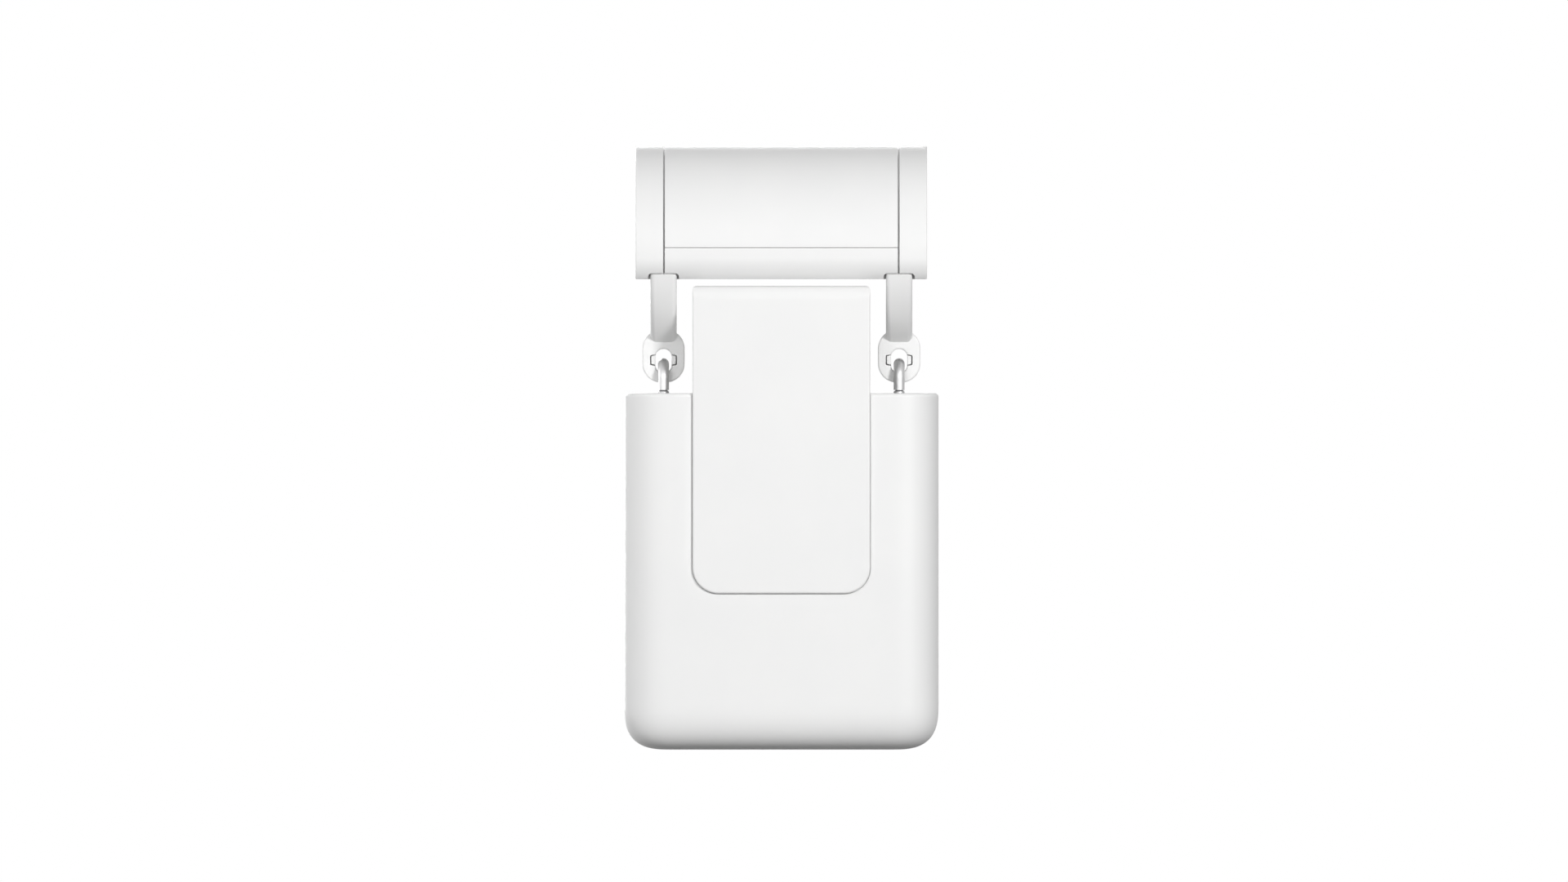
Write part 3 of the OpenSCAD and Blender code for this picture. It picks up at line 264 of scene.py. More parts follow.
def worked(piece, operation, *surfaces):
    """The piece cut by, or joined with, each surface in turn."""
    tools = []
    for number, surface in enumerate(surfaces):
        tool = new_piece(f"tool_{number}", surface)
        step = piece.modifiers.new("work", "BOOLEAN")
        step.operation, step.object, step.solver = operation, tool, "EXACT"
        tools.append(tool)
    graph = bpy.context.evaluated_depsgraph_get()
    mesh = bpy.data.meshes.new_from_object(piece.evaluated_get(graph))
    piece.modifiers.clear()
    old, piece.data = piece.data, mesh
    mesh.name = piece.name
    bpy.data.meshes.remove(old)
    for tool in tools:
        bpy.data.meshes.remove(tool.data)
    tidy(piece.data)


def cut(piece, *surfaces):
    """The piece less what lies in each surface."""
    worked(piece, "DIFFERENCE", *surfaces)


def fuse(piece, *surfaces):
    """The piece and what lies in each surface as one."""
    worked(piece, "UNION", *surfaces)


def twin(piece, name, flip):
    """A copy of a piece with its points multiplied by flip."""
    mesh = piece.data.copy()
    mesh.name = name
    points = np.empty(len(mesh.vertices) * 3)
    mesh.vertices.foreach_get("co", points)
    mesh.vertices.foreach_set("co", (points.reshape(-1, 3) * np.array(flip)).ravel())
    if np.prod(flip) < 0:
        mesh.flip_normals()
    mesh.update()
    other = bpy.data.objects.new(name, mesh)
    bpy.context.scene.collection.objects.link(other)
    return other


def settle(piece, body, slot, *nodes):
    """Smooth shading that keeps creases, then the piece's body, finish and the nodes it stands for."""
    piece.data.shade_smooth()
    piece.data.set_sharp_from_angle(angle=np.radians(CREASE))
    weighted = piece.modifiers.new("weighted normals", "WEIGHTED_NORMAL")
    weighted.keep_sharp = True
    weighted.weight = NORMAL_WEIGHT
    piece.data.materials.clear()
    piece.data.materials.append(FINISHES[slot])
    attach(piece, body)
    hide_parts(*nodes)


# Finishes

class Finish:
    """A node material whose patterns read Object coordinates."""

    def __init__(self, name):
        self.material = bpy.data.materials.new(name)
        self.material.use_nodes = True
        self.nodes = self.material.node_tree.nodes
        self.links = self.material.node_tree.links
        self.shader = self.nodes["Principled BSDF"]
        self.place = self.nodes.new("ShaderNodeTexCoord").outputs["Object"]

    def stretched(self, scale):
        """Object coordinates multiplied by scale."""
        mapping = self.nodes.new("ShaderNodeMapping")
        mapping.inputs["Scale"].default_value = scale
        self.links.new(self.place, mapping.inputs["Vector"])
        return mapping.outputs["Vector"]

    def noise(self, scale, detail=2.0, place=None):
        """Soft noise with `scale` patches to the metre."""
        node = self.nodes.new("ShaderNodeTexNoise")
        node.inputs["Scale"].default_value = scale
        node.inputs["Detail"].default_value = detail
        self.links.new(place or self.place, node.inputs["Vector"])
        return node.outputs["Fac"]

    def cells(self, scale, place=None):
        """Distance to the nearest of scattered points."""
        node = self.nodes.new("ShaderNodeTexVoronoi")
        node.inputs["Scale"].default_value = scale
        self.links.new(place or self.place, node.inputs["Vector"])
        return node.outputs["Distance"]

    def lines(self, scale, direction, distortion=0.0):
        """Parallel bands along one axis."""
        node = self.nodes.new("ShaderNodeTexWave")
        node.bands_direction = direction
        node.inputs["Scale"].default_value = scale
        node.inputs["Distortion"].default_value = distortion
        self.links.new(self.place, node.inputs["Vector"])
        return node.outputs["Fac"]

    def ranged(self, value, low, high, start=0.3, end=0.7):
        """A value between start and end taken to low to high."""
        node = self.nodes.new("ShaderNodeMapRange")
        for key, number in (("From Min", start), ("From Max", end), ("To Min", low), ("To Max", high)):
            node.inputs[key].default_value = number
        self.links.new(value, node.inputs["Value"])
        return node.outputs["Result"]

    def colour(self, value, first, second, start=0.3, end=0.7):
        """Base colour from first to second as value goes from start to end."""
        node = self.nodes.new("ShaderNodeMix")
        node.data_type = "RGBA"
        node.inputs["A"].default_value = (*first, 1.0)
        node.inputs["B"].default_value = (*second, 1.0)
        self.links.new(self.ranged(value, 0.0, 1.0, start, end), node.inputs["Factor"])
        self.links.new(node.outputs["Result"], self.shader.inputs["Base Color"])

    def rough(self, value, low, high):
        """Roughness from low to high by a value."""
        self.links.new(self.ranged(value, low, high), self.shader.inputs["Roughness"])

    def bump(self, value, depth, strength=0.5):
        """Relief of `depth` millimetres."""
        node = self.nodes.new("ShaderNodeBump")
        node.inputs["Strength"].default_value = strength
        node.inputs["Distance"].default_value = depth * MM
        self.links.new(value, node.inputs["Height"])
        self.links.new(node.outputs["Normal"], self.shader.inputs["Normal"])

    def set(self, **values):
        """Constants on the shader's own sockets."""
        for key, value in values.items():
            self.shader.inputs[key.replace("_", " ")].default_value = value


def moulded(name, light, shade, rough, relief):
    """Moulded plastic: two close shades in soft patches, a narrow roughness band and a fine skin grain."""
    finish = Finish(name)
    finish.colour(finish.noise(60.0), light, shade)
    finish.rough(finish.noise(700.0), *rough)
    finish.bump(finish.noise(5200.0, 3.0), relief)
    finish.set(Specular_IOR_Level=0.4)
    return finish.material


def metal(name, light, shade, rough, lines, relief, direction="Z"):
    """Bare metal with drawn lines in its roughness and relief."""
    finish = Finish(name)
    finish.colour(finish.noise(240.0, 3.0), light, shade)
    drawn = finish.lines(lines, direction, 3.0)
    finish.rough(finish.noise(900.0), *rough)
    finish.bump(drawn, relief, 0.3)
    finish.set(Metallic=1.0)
    return finish.material


def rubber(name):
    """Dark rubber: matte, with a pebbled skin."""
    finish = Finish(name)
    finish.colour(finish.noise(180.0, 4.0), (0.012, 0.012, 0.013), (0.026, 0.026, 0.027))
    finish.rough(finish.noise(900.0), 0.66, 0.82)
    finish.bump(finish.cells(2600.0), 0.03)
    finish.set(Specular_IOR_Level=0.3)
    return finish.material


def board(name):
    """Circuit board: green lacquer with paler copper runs under it and woven glass in its relief."""
    finish = Finish(name)
    runs = finish.cells(420.0, finish.stretched((1.0, 1.0, 3.0)))
    finish.colour(runs, (0.015, 0.075, 0.035), (0.02, 0.13, 0.055), 0.1, 0.45)
    finish.rough(finish.noise(1200.0), 0.28, 0.42)
    finish.bump(finish.cells(2400.0), 0.012)
    return finish.material


def wrapped(name):
    """Shrink wrap of the cells: blue film with faint lengthwise folds."""
    finish = Finish(name)
    finish.colour(finish.noise(90.0, 3.0), (0.03, 0.09, 0.24), (0.045, 0.13, 0.31))
    finish.rough(finish.noise(500.0), 0.26, 0.4)
    finish.bump(finish.noise(300.0, 2.0, finish.stretched((1.0, 1.0, 0.15))), 0.08)
    return finish.material


def sleeve(name):
    """Insulated wire and flat cable: soft grey vinyl with fine lengthwise lines."""
    finish = Finish(name)
    finish.colour(finish.noise(400.0), (0.16, 0.165, 0.17), (0.22, 0.225, 0.23))
    finish.rough(finish.noise(900.0), 0.42, 0.55)
    finish.bump(finish.lines(900.0, "X"), 0.02)
    return finish.material


def frosted(name):
    """Light guide: clear plastic with a frosted end."""
    finish = Finish(name)
    finish.colour(finish.noise(700.0), (0.86, 0.88, 0.89), (0.93, 0.94, 0.95))
    finish.rough(finish.noise(1800.0), 0.25, 0.4)
    finish.bump(finish.noise(5200.0), 0.01)
    finish.set(Transmission_Weight=0.35, IOR=1.49)
    return finish.material


FINISHES = {
    "white_plastic": moulded("satin_white_moulding", (0.862, 0.862, 0.858), (0.846, 0.847, 0.845),
                             (0.38, 0.46), 0.012),
    "frame_plastic": moulded("matte_white_moulding", (0.77, 0.77, 0.765), (0.735, 0.735, 0.73),
                             (0.46, 0.58), 0.02),
    "grey_plastic": moulded("grey_moulding", (0.1, 0.104, 0.11), (0.085, 0.088, 0.093), (0.44, 0.56), 0.02),
    "gear_plastic": moulded("acetal_moulding", (0.7, 0.68, 0.62), (0.64, 0.62, 0.56), (0.34, 0.46), 0.01),
    "black_plastic": moulded("black_moulding", (0.016, 0.016, 0.017), (0.026, 0.026, 0.027),
                             (0.4, 0.52), 0.02),
    "hook_steel": metal("satin_steel", (0.55, 0.55, 0.55), (0.5, 0.5, 0.505), (0.42, 0.49), 900.0, 0.002),
    "steel": metal("machined_steel", (0.52, 0.52, 0.51), (0.44, 0.44, 0.435), (0.24, 0.36), 1400.0, 0.004),
    "rubber": rubber("tyre_rubber"),
    "cell_wrap": wrapped("cell_wrap_film"),
    "contact_metal": metal("nickel_strip", (0.6, 0.57, 0.5), (0.52, 0.49, 0.43), (0.2, 0.34), 1800.0, 0.004,
                           "X"),
    "circuit_board": board("green_board"),
    "cable": sleeve("grey_vinyl"),
    "clear_plastic": frosted("frosted_clear"),
}
slot_of = {part["node"]: part["material_slot"] for part in frame["record"]["subparts"]}


# Camera, light and floor, in metres

AIM = Vector((0.0, 0.0, -0.045))
FRAME_WIDTH = 0.374
CAMERA_X, CAMERA_Y = 0.00064, -1.0
LAMP_DISTANCE = 1.3
AMBIENT = 0.2
FLOOR_Z = -0.1188
FLOOR_HALF = 2.5
FLOOR_GLOW = 0.64

# Each lamp's degrees to the right of the front, degrees up, width and watts
LAMPS = {
    "key": (30.0, 15.0, 0.2, 9.4),
    "front_fill": (9.0, 5.5, 0.5, 1.3),
    "left_front": (-25.0, 13.0, 0.8, 5.2),
    "left_fill": (-76.0, 10.0, 0.7, 2.1),
    "left_rim": (-112.0, 8.0, 0.6, 4.2),
    "back_fill": (-165.0, 8.0, 0.8, 9.5),
}


def add_camera():
    """Level and straight on, without perspective."""
    data = bpy.data.cameras.new("camera")
    data.type, data.ortho_scale = "ORTHO", FRAME_WIDTH
    camera = bpy.data.objects.new("camera", data)
    camera.location = (CAMERA_X, CAMERA_Y, AIM.z)
    camera.rotation_euler = (np.pi / 2, 0.0, 0.0)
    bpy.context.scene.collection.objects.link(camera)
    bpy.context.scene.camera = camera


def add_softbox(name, azimuth, elevation, size, power):
    """A square lamp that faces the aim from a degrees to the right of the front and e degrees above it: it
    stands at the aim + distance (sin a cos e, -cos a cos e, sin e)."""
    a, e = np.radians([azimuth, elevation])
    way = Vector((np.sin(a) * np.cos(e), -np.cos(a) * np.cos(e), np.sin(e)))
    data = bpy.data.lights.new(name, "AREA")
    data.shape, data.size, data.energy = "SQUARE", size, power
    lamp = bpy.data.objects.new(name, data)
    lamp.location = AIM + way * LAMP_DISTANCE
    lamp.rotation_mode = "QUATERNION"
    lamp.rotation_quaternion = (-way).to_track_quat("-Z", "Y")
    bpy.context.scene.collection.objects.link(lamp)


def seen_rays(nodes, links):
    """1 for camera, glossy and transmission rays, and 0 for the light that falls on the object."""
    path = nodes.new("ShaderNodeLightPath")
    value = path.outputs["Is Camera Ray"]
    for name in ("Is Glossy Ray", "Is Transmission Ray"):
        both = nodes.new("ShaderNodeMath")
        both.operation = "MAXIMUM"
        links.new(value, both.inputs[0])
        links.new(path.outputs[name], both.inputs[1])
        value = both.outputs[0]
    return value


def add_world():
    """White behind the object, and soft grey light round it."""
    world = bpy.data.worlds.new("studio")
    world.use_nodes = True
    bpy.context.scene.world = world
    nodes, links = world.node_tree.nodes, world.node_tree.links
    light = nodes["Background"]
    light.inputs["Color"].default_value = (1.0, 1.0, 1.0, 1.0)
    light.inputs["Strength"].default_value = AMBIENT
    seen = nodes.new("ShaderNodeBackground")
    seen.inputs["Color"].default_value = (1.0, 1.0, 1.0, 1.0)
    choice = nodes.new("ShaderNodeMixShader")
    links.new(seen_rays(nodes, links), choice.inputs["Fac"])
    links.new(light.outputs[0], choice.inputs[1])
    links.new(seen.outputs[0], choice.inputs[2])
    links.new(choice.outputs[0], nodes["World Output"].inputs["Surface"])


def add_floor():
    """A pale floor that keeps the object's shadow: grey for the light that falls on it, plus a glow that
    only seen rays meet."""
    finish = Finish("pale_floor")
    finish.colour(finish.noise(12.0), (0.2, 0.2, 0.2), (0.187, 0.187, 0.187))
    finish.set(Roughness=0.8, Specular_IOR_Level=0.1)
    glow = finish.nodes.new("ShaderNodeEmission")
    strength = finish.ranged(seen_rays(finish.nodes, finish.links), 0.0, FLOOR_GLOW, 0.0, 1.0)
    finish.links.new(strength, glow.inputs["Strength"])
    both = finish.nodes.new("ShaderNodeAddShader")
    finish.links.new(finish.shader.outputs[0], both.inputs[0])
    finish.links.new(glow.outputs[0], both.inputs[1])
    finish.links.new(both.outputs[0], finish.nodes["Material Output"].inputs["Surface"])
    corners = [(u * FLOOR_HALF, v * FLOOR_HALF, FLOOR_Z) for u, v in ((-1, -1), (1, -1), (1, 1), (-1, 1))]
    mesh = bpy.data.meshes.new("floor")
    mesh.from_pydata(corners, [], [(0, 1, 2, 3)])
    mesh.materials.append(finish.material)
    floor = bpy.data.objects.new("floor", mesh)
    bpy.context.scene.collection.objects.link(floor)


# Saddle, in millimetres and degrees from here on; outlines as half width, half height, corner, steps

SADDLE_R = 25.3
SADDLE_END = 34.75
LIP_R = 6.9
LIP_CENTRE = np.array([SADDLE_R - LIP_R, -1.3])
LIP_BOTTOM = -6.4
BASE_TOP = 1.06
PASSAGE_HALF = 16.0
ARCH_CENTRE = (0.0, -3.8)
LINER_R = 18.0
COVER_INSIDE_R = 23.3
COVER_FOOT, COVER_INSIDE_FOOT = 2.6, 2.82
SEAM_X = 28.0
SEAM_GAP = 0.2
SEAM_IN = SEAM_X - SEAM_GAP
SEAM_DEPTH = 1.5
SEAM_DEPTH_TOP = 0.5
SEAM_EDGE = 0.08
RIB_START, RIB_END = SEAM_IN + 0.05, SEAM_X + 0.5
JOIN_EDGE = 0.12
CAP_EDGE, CAP_END_EDGE = 0.4, 0.3
TONGUE_OUTSIDE_R, TONGUE_INSIDE_R = 23.2, 21.5
TONGUE_FOOT = 0.6
TONGUE_START, TONGUE_END = 22.65, 30.0
TONGUE_ROOM_START, TONGUE_FIT = 22.4, 0.1
ROLLER_X, AXLE_Z = 15.0, 15.799
WINDOW = (6.5, 7.5, 0.8)
WINDOW_LOW, WINDOW_HIGH = 6.0, 22.0
EAR = (3.5, 4.6, 1.2)
EAR_Z = 14.7
EAR_INSIDE, EAR_OUTSIDE = 7.5, 9.9
EAR_EDGE = 0.2
AXLE_BORE_R, AXLE_BORE_REACH = 1.52, 11.0


def saddle_side(top, depth=0.0):
    """Right side of the saddle's section, inset by depth, from the foot of the lip up to height top: the
    lip's arc, a short upright, then the large arc about the saddle's axis."""
    low = np.degrees(np.arcsin((LIP_BOTTOM + depth - LIP_CENTRE[1]) / (LIP_R - depth)))
    high = np.degrees(np.arcsin(top / (SADDLE_R - depth)))
    return np.concatenate([arc(LIP_CENTRE, LIP_R - depth, low, 0.0, 14),
                           arc((0.0, 0.0), SADDLE_R - depth, 0.0, high, max(2, int(high / 2)))])


def passage_inside(depth=0.0):
    """Passage through the saddle, wider by depth, from its left foot up the wall, over the arch and down to
    its right foot."""
    half, foot = PASSAGE_HALF + depth, LIP_BOTTOM + depth
    return np.concatenate([[(-half, foot)], arc(ARCH_CENTRE, half, 180.0, 0.0, 48), [(half, foot)]])


def saddle_section(depth=0.0):
    """Whole section of the saddle, inset by depth."""
    half = saddle_side(SADDLE_R - depth, depth)
    return np.concatenate([half, mirrored(half)[1:], passage_inside(depth)])


def tongue(start, fit):
    """Ring under the cover that joins an end cap to it, from just above the axis' level round the top, and
    larger by a fit where it is the room for the ring."""
    foot = TONGUE_FOOT - fit
    over = 180.0 - TONGUE_FOOT + fit
    outer = arc((0.0, 0.0), TONGUE_OUTSIDE_R + fit / 2, foot, over, 84)
    inner = arc((0.0, 0.0), TONGUE_INSIDE_R - fit, over, foot, 84)
    return prism([np.concatenate([outer, inner])], edge_stops(start, TONGUE_END), "x")


def make_saddle_cover():
    """A half-ring carried along the saddle's axis, with the seams' edges rounded."""
    over = arc((0.0, 0.0), SADDLE_R, COVER_FOOT, 180.0 - COVER_FOOT, 84)
    hollow = arc((0.0, 0.0), COVER_INSIDE_R, 180.0 - COVER_INSIDE_FOOT, COVER_INSIDE_FOOT, 84)
    section = soften(np.concatenate([over, hollow]), JOIN_EDGE)
    piece = new_piece("saddle_cover_moulding",
                      prism([section], edge_stops(-SEAM_IN, SEAM_IN, SEAM_EDGE, SEAM_EDGE), "x"))
    settle(piece, "saddle", "white_plastic", "saddle_cover")


def make_saddle_base():
    """Lips and the passage's liner, carried along the saddle's axis, with windows for the rollers, bored
    ears for their axles and room for the arms and the end caps' tongues."""
    low = np.degrees(np.arcsin((BASE_TOP - ARCH_CENTRE[1]) / LINER_R))
    lip = saddle_side(BASE_TOP)
    liner = arc(ARCH_CENTRE, LINER_R, low, 180.0 - low, 48)
    section = soften(np.concatenate([lip, liner, mirrored(lip), passage_inside()]), JOIN_EDGE)
    piece = new_piece("saddle_base_moulding",
                      prism([section], edge_stops(-SEAM_IN, SEAM_IN, SEAM_EDGE, SEAM_EDGE), "x"))
    windows, ears, bores = [], [], []
    for x in (-ROLLER_X, ROLLER_X):
        window = rounded_rect(*WINDOW, centre=(x, 0.0))
        windows.append(prism([window], edge_stops(WINDOW_LOW, WINDOW_HIGH)))
        ear = rounded_rect(*EAR, centre=(x, EAR_Z))
        for front, back in ((-EAR_OUTSIDE, -EAR_INSIDE), (EAR_INSIDE, EAR_OUTSIDE)):
            ears.append(prism([ear], edge_stops(front, back, EAR_EDGE, EAR_EDGE), "y"))
        bore = circle(AXLE_BORE_R, (x, AXLE_Z))
        bores.append(prism([bore], edge_stops(-AXLE_BORE_REACH, AXLE_BORE_REACH), "y"))
    cut(piece, *windows)
    fuse(piece, *ears)
    room = tongue(TONGUE_ROOM_START, TONGUE_FIT)
    cut(piece, *bores, *arm_pockets(-1.0), *arm_pockets(1.0), room, flipped(room, (-1, 1, 1)))
    settle(piece, "saddle", "white_plastic", "saddle_base")


def make_end_caps():
    """The saddle's whole section carried on outside each seam. A rib, inset from the section and stretched
    upwards, is the floor of the seam, which is shallower towards the top."""
    stops = edge_stops(SEAM_X + SEAM_GAP, SADDLE_END, SEAM_EDGE, CAP_END_EDGE)
    piece = new_piece("right_end_cap_moulding", prism([soften(saddle_section(), CAP_EDGE)], stops, "x"))
    rib = saddle_section(SEAM_DEPTH)
    rise = (SADDLE_R - SEAM_DEPTH_TOP) / (SADDLE_R - SEAM_DEPTH)
    rib[:, 1] *= np.where(rib[:, 1] > 0, rise, 1.0)
    fuse(piece, prism([rib], edge_stops(RIB_START, RIB_END), "x"), tongue(TONGUE_START, 0.0))
    cut(piece, *arm_pockets(1.0))
    other = twin(piece, "left_end_cap_moulding", (-1, 1, 1))
    settle(piece, "saddle", "white_plastic", "right_end_cap")
    settle(other, "saddle", "white_plastic", "left_end_cap")


# Arms

ARM_X = 28.1
ARM_HALF = 3.15
ARM_R = 24.55
ARM_T = 3.0
ARM_END, ARM_INSIDE_END = 247.0, 243.5
ARM_INSIDE_START = 185.46
ROOT_R = 23.3
ROOT_START = 182.0
TOE_Y, TOE_LOW = -20.15, -2.05
SHOULDER = -5.45
SHOULDER_EDGE, EDGE_GROWTH = 1.1, 0.5
INSIDE_EDGE, ROOT_EDGE = 0.5, 0.3
POCKET_HALF = 3.7
POCKET_FIT = 0.15
POCKET_END = 205.0
POCKET_WALL = -23.0
NOTCH_TOP = -5.0
NOTCH_HALF = 2.0
NOTCH_CORNER = 0.9
NOTCH_FRONT, NOTCH_BACK = -27.0, -20.4
TAB = (5.05, 6.3, 4.5, 12)
TAB_Z = -24.75
TAB_FRONT = -12.0
TAB_EDGE = 0.4
EYE = (1.95, 2.85, 1.95, 12)
EYE_Z = -25.9
SLOT_END = np.array([(1.9, -1.42), (3.2, -1.15), (3.2, 1.15), (1.9, 1.42)])
SLOT_Z = -25.7
LINE_W, LINE_DEPTH = 0.3, 2.6
INLAY_MARGIN, INLAY_DROP = 0.1, 0.12
CUT_AHEAD = 1.5


def arm_pockets(side):
    """Cutters for the two arms' pockets at one end of the saddle: a notch round the arm with rounded upper
    corners, and a thinner room above it for the root and its toe."""
    middle = side * ARM_X
    along = edge_stops(middle - POCKET_HALF, middle + POCKET_HALF)
    outer = arc((0.0, 0.0), ROOT_R + POCKET_FIT, 180.0, POCKET_END, 16)
    inner = arc((0.0, 0.0), ARM_R - ARM_T - POCKET_FIT, POCKET_END, 180.0, 16)
    room = np.concatenate([outer, inner])
    near, low = TOE_Y + POCKET_FIT, TOE_LOW - POCKET_FIT
    toe = np.array([(near, low), (near, POCKET_FIT), (POCKET_WALL, POCKET_FIT), (POCKET_WALL, low)])
    notch = rounded_rect(POCKET_HALF, NOTCH_HALF, NOTCH_CORNER, centre=(middle, NOTCH_TOP - NOTCH_HALF))
    shapes = [prism([room], along, "x"), prism([toe], along, "x"),
              prism([notch], edge_stops(NOTCH_FRONT, NOTCH_BACK), "y")]
    return [flipped(shape, (1.0, face, 1.0)) for face in (1.0, -1.0) for shape in shapes]


def arm_section():
    """Band of the arm seen from its side, with the radius of its long edges at each point: arcs about the
    saddle's axis, a shoulder below the saddle and a toe inside it. The outer edge grows rounder with the
    cube of the way to the end."""
    start = 180.0 + np.degrees(np.arcsin(-SHOULDER / ARM_R))
    outer = arc((0.0, 0.0), ARM_R, start, ARM_END, 40)
    inner = arc((0.0, 0.0), ARM_R - ARM_T, ARM_INSIDE_END, ARM_INSIDE_START, 32)
    toe = np.array([(TOE_Y, TOE_LOW), (TOE_Y, 0.0), (-ROOT_R, 0.0)])
    root = arc((0.0, 0.0), ROOT_R, ROOT_START, start - 1.0, 8)
    share = np.linspace(0.0, 1.0, len(outer))
    edge = np.concatenate([SHOULDER_EDGE + EDGE_GROWTH * share ** 3, np.full(len(inner), INSIDE_EDGE),
                           np.full(len(toe) + len(root), ROOT_EDGE)])
    return np.concatenate([outer, inner, toe, root]), edge


def make_arms():
    """Curved band with a flat tab: the tab has a stadium eye, and a fine groove round an inlay across the
    eye."""
    band, edge = arm_section()
    piece = new_piece("right_front_arm_moulding",
                      prism([band], edge_stops(ARM_X - ARM_HALF, ARM_X + ARM_HALF, edge, edge, 6), "x"))
    tab = rounded_rect(*TAB, centre=(ARM_X, TAB_Z))
    eye = rounded_rect(*EYE, centre=(ARM_X, EYE_Z))[::-1]
    slot = np.concatenate([SLOT_END, -SLOT_END]) + (ARM_X, SLOT_Z)
    groove = [soften(slot, 0.3), soften(inset(slot, LINE_W), 0.15)[::-1]]
    inlay = soften(inset(slot, INLAY_MARGIN), 0.2)
    ahead = TAB_FRONT - CUT_AHEAD
    fuse(piece, prism([tab, eye], edge_stops(TAB_FRONT, TAB_FRONT + ARM_T, TAB_EDGE, TAB_EDGE), "y"))
    cut(piece, prism(groove, edge_stops(ahead, TAB_FRONT + LINE_DEPTH), "y"),
        prism([inlay], edge_stops(ahead, TAB_FRONT + INLAY_DROP), "y"))
    for name, flip in (("left_front", (-1, 1, 1)), ("left_rear", (-1, -1, 1)),
                       ("right_rear", (1, -1, 1))):
        other = twin(piece, f"{name}_arm_moulding", flip)
        settle(other, "saddle", "white_plastic", f"{name}_arm")
    settle(piece, "saddle", "white_plastic", "right_front_arm")


# Rollers and tyre, each with its waist, half length, bore, tread and fillet

ROLLER = (4.599, 6.0, 1.55, 15.0, 0.25)
TYRE = (14.0, 7.0, 11.0, 16.8, 0.5)
WHEEL_Z = -25.2


def roller_profile(waist, half, bore, tread, fillet):
    """Section of a roller with a hollow tread: its radius is waist + tread - sqrt(tread^2 - h^2)."""
    h = np.linspace(-half, half, 25)
    r = waist + tread - np.sqrt(tread * tread - h * h)
    section = np.concatenate([np.column_stack([r, h]), [(bore, half), (bore, -half)]])
    loop = soften(section[::-1], fillet)
    return np.concatenate([loop, loop[:1]])


def make_rollers():
    """Two rollers with waists, turned profiles on their axles across the saddle."""
    for name, x in (("left", -ROLLER_X), ("right", ROLLER_X)):
        piece = new_piece(f"{name}_roller_moulding",
                          revolve(roller_profile(*ROLLER), "y", (x, 0.0, AXLE_Z)))
        settle(piece, f"{name}_roller_body", slot_of[f"{name}_roller"], f"{name}_roller")


def make_wheel():
    """Rubber tyre with a waist, a turned profile on the wheel below the saddle."""
    piece = new_piece("wheel_tyre_rubber", revolve(roller_profile(*TYRE), "y", (0.0, 0.0, WHEEL_Z), 128))
    settle(piece, "wheel", "rubber", "wheel_tyre")


# Hooks, springs and bushes

HOOK_Y = -14.0
WIRE_R = 1.3
BEND_R = 3.5
BEND_Y, BEND_Z = HOOK_Y + BEND_R, -30.06
SHANK_END, SHANK_END_R = -64.6, 0.95
SHANK_CHAMFER = 0.35
UNDERCUT_LOW, UNDERCUT_HIGH = -33.2, -32.85
UNDERCUT_DEPTH = 0.5
TIP_Z, TIP_DROP = -30.5, 1.06
BUSH_LOW, BUSH_HIGH = -41.0, -33.7
BUSH_BORE_R, BUSH_R = 1.35, 2.6
SPRING_TURNS = 8
SPRING_WIRE_R, SPRING_R = 0.4, 2.9
SPRING_LOW, SPRING_HIGH = -61.0, BUSH_LOW
CLOSED_TURN, CLOSED_RISE = 0.9, 0.85
SHANKS = [(side * ARM_X, face * HOOK_Y) for side in (-1, 1) for face in (-1, 1)]


def hook_surface(x):
    """Wire carried up the shank, over the bend and down to a rounded tip; the radius runs in over the
    undercut's height and steps out again."""
    shank_z = np.array([SHANK_END, SHANK_END, SHANK_END + SHANK_CHAMFER, UNDERCUT_LOW, UNDERCUT_HIGH,
                        UNDERCUT_HIGH + 0.01])
    shank_r = np.array([0.0, SHANK_END_R, WIRE_R, WIRE_R, WIRE_R - UNDERCUT_DEPTH, WIRE_R])
    shank = np.column_stack([np.full(len(shank_z), HOOK_Y), shank_z])
    a = np.radians(np.linspace(180.0, 0.0, 33))
    bend = np.column_stack([BEND_Y + BEND_R * np.cos(a), BEND_Z + BEND_R * np.sin(a)])
    t = np.linspace(0.0, np.pi / 2, 8)
    tip = np.column_stack([np.full(len(t), BEND_Y + BEND_R), TIP_Z - TIP_DROP * np.sin(t)])
    path = np.concatenate([shank, bend, tip])
    radius = np.concatenate([shank_r, np.full(len(bend), WIRE_R), WIRE_R * np.cos(t)])
    up = np.tile((0.0, 0.0, 1.0), (len(shank), 1))
    over = np.column_stack([np.zeros(len(a)), np.sin(a), -np.cos(a)])
    down = np.tile((0.0, 0.0, -1.0), (len(t), 1))
    points = np.column_stack([np.full(len(path), x), path])
    return tube(points, np.concatenate([up, over, down]), radius, (1.0, 0.0, 0.0), 32)


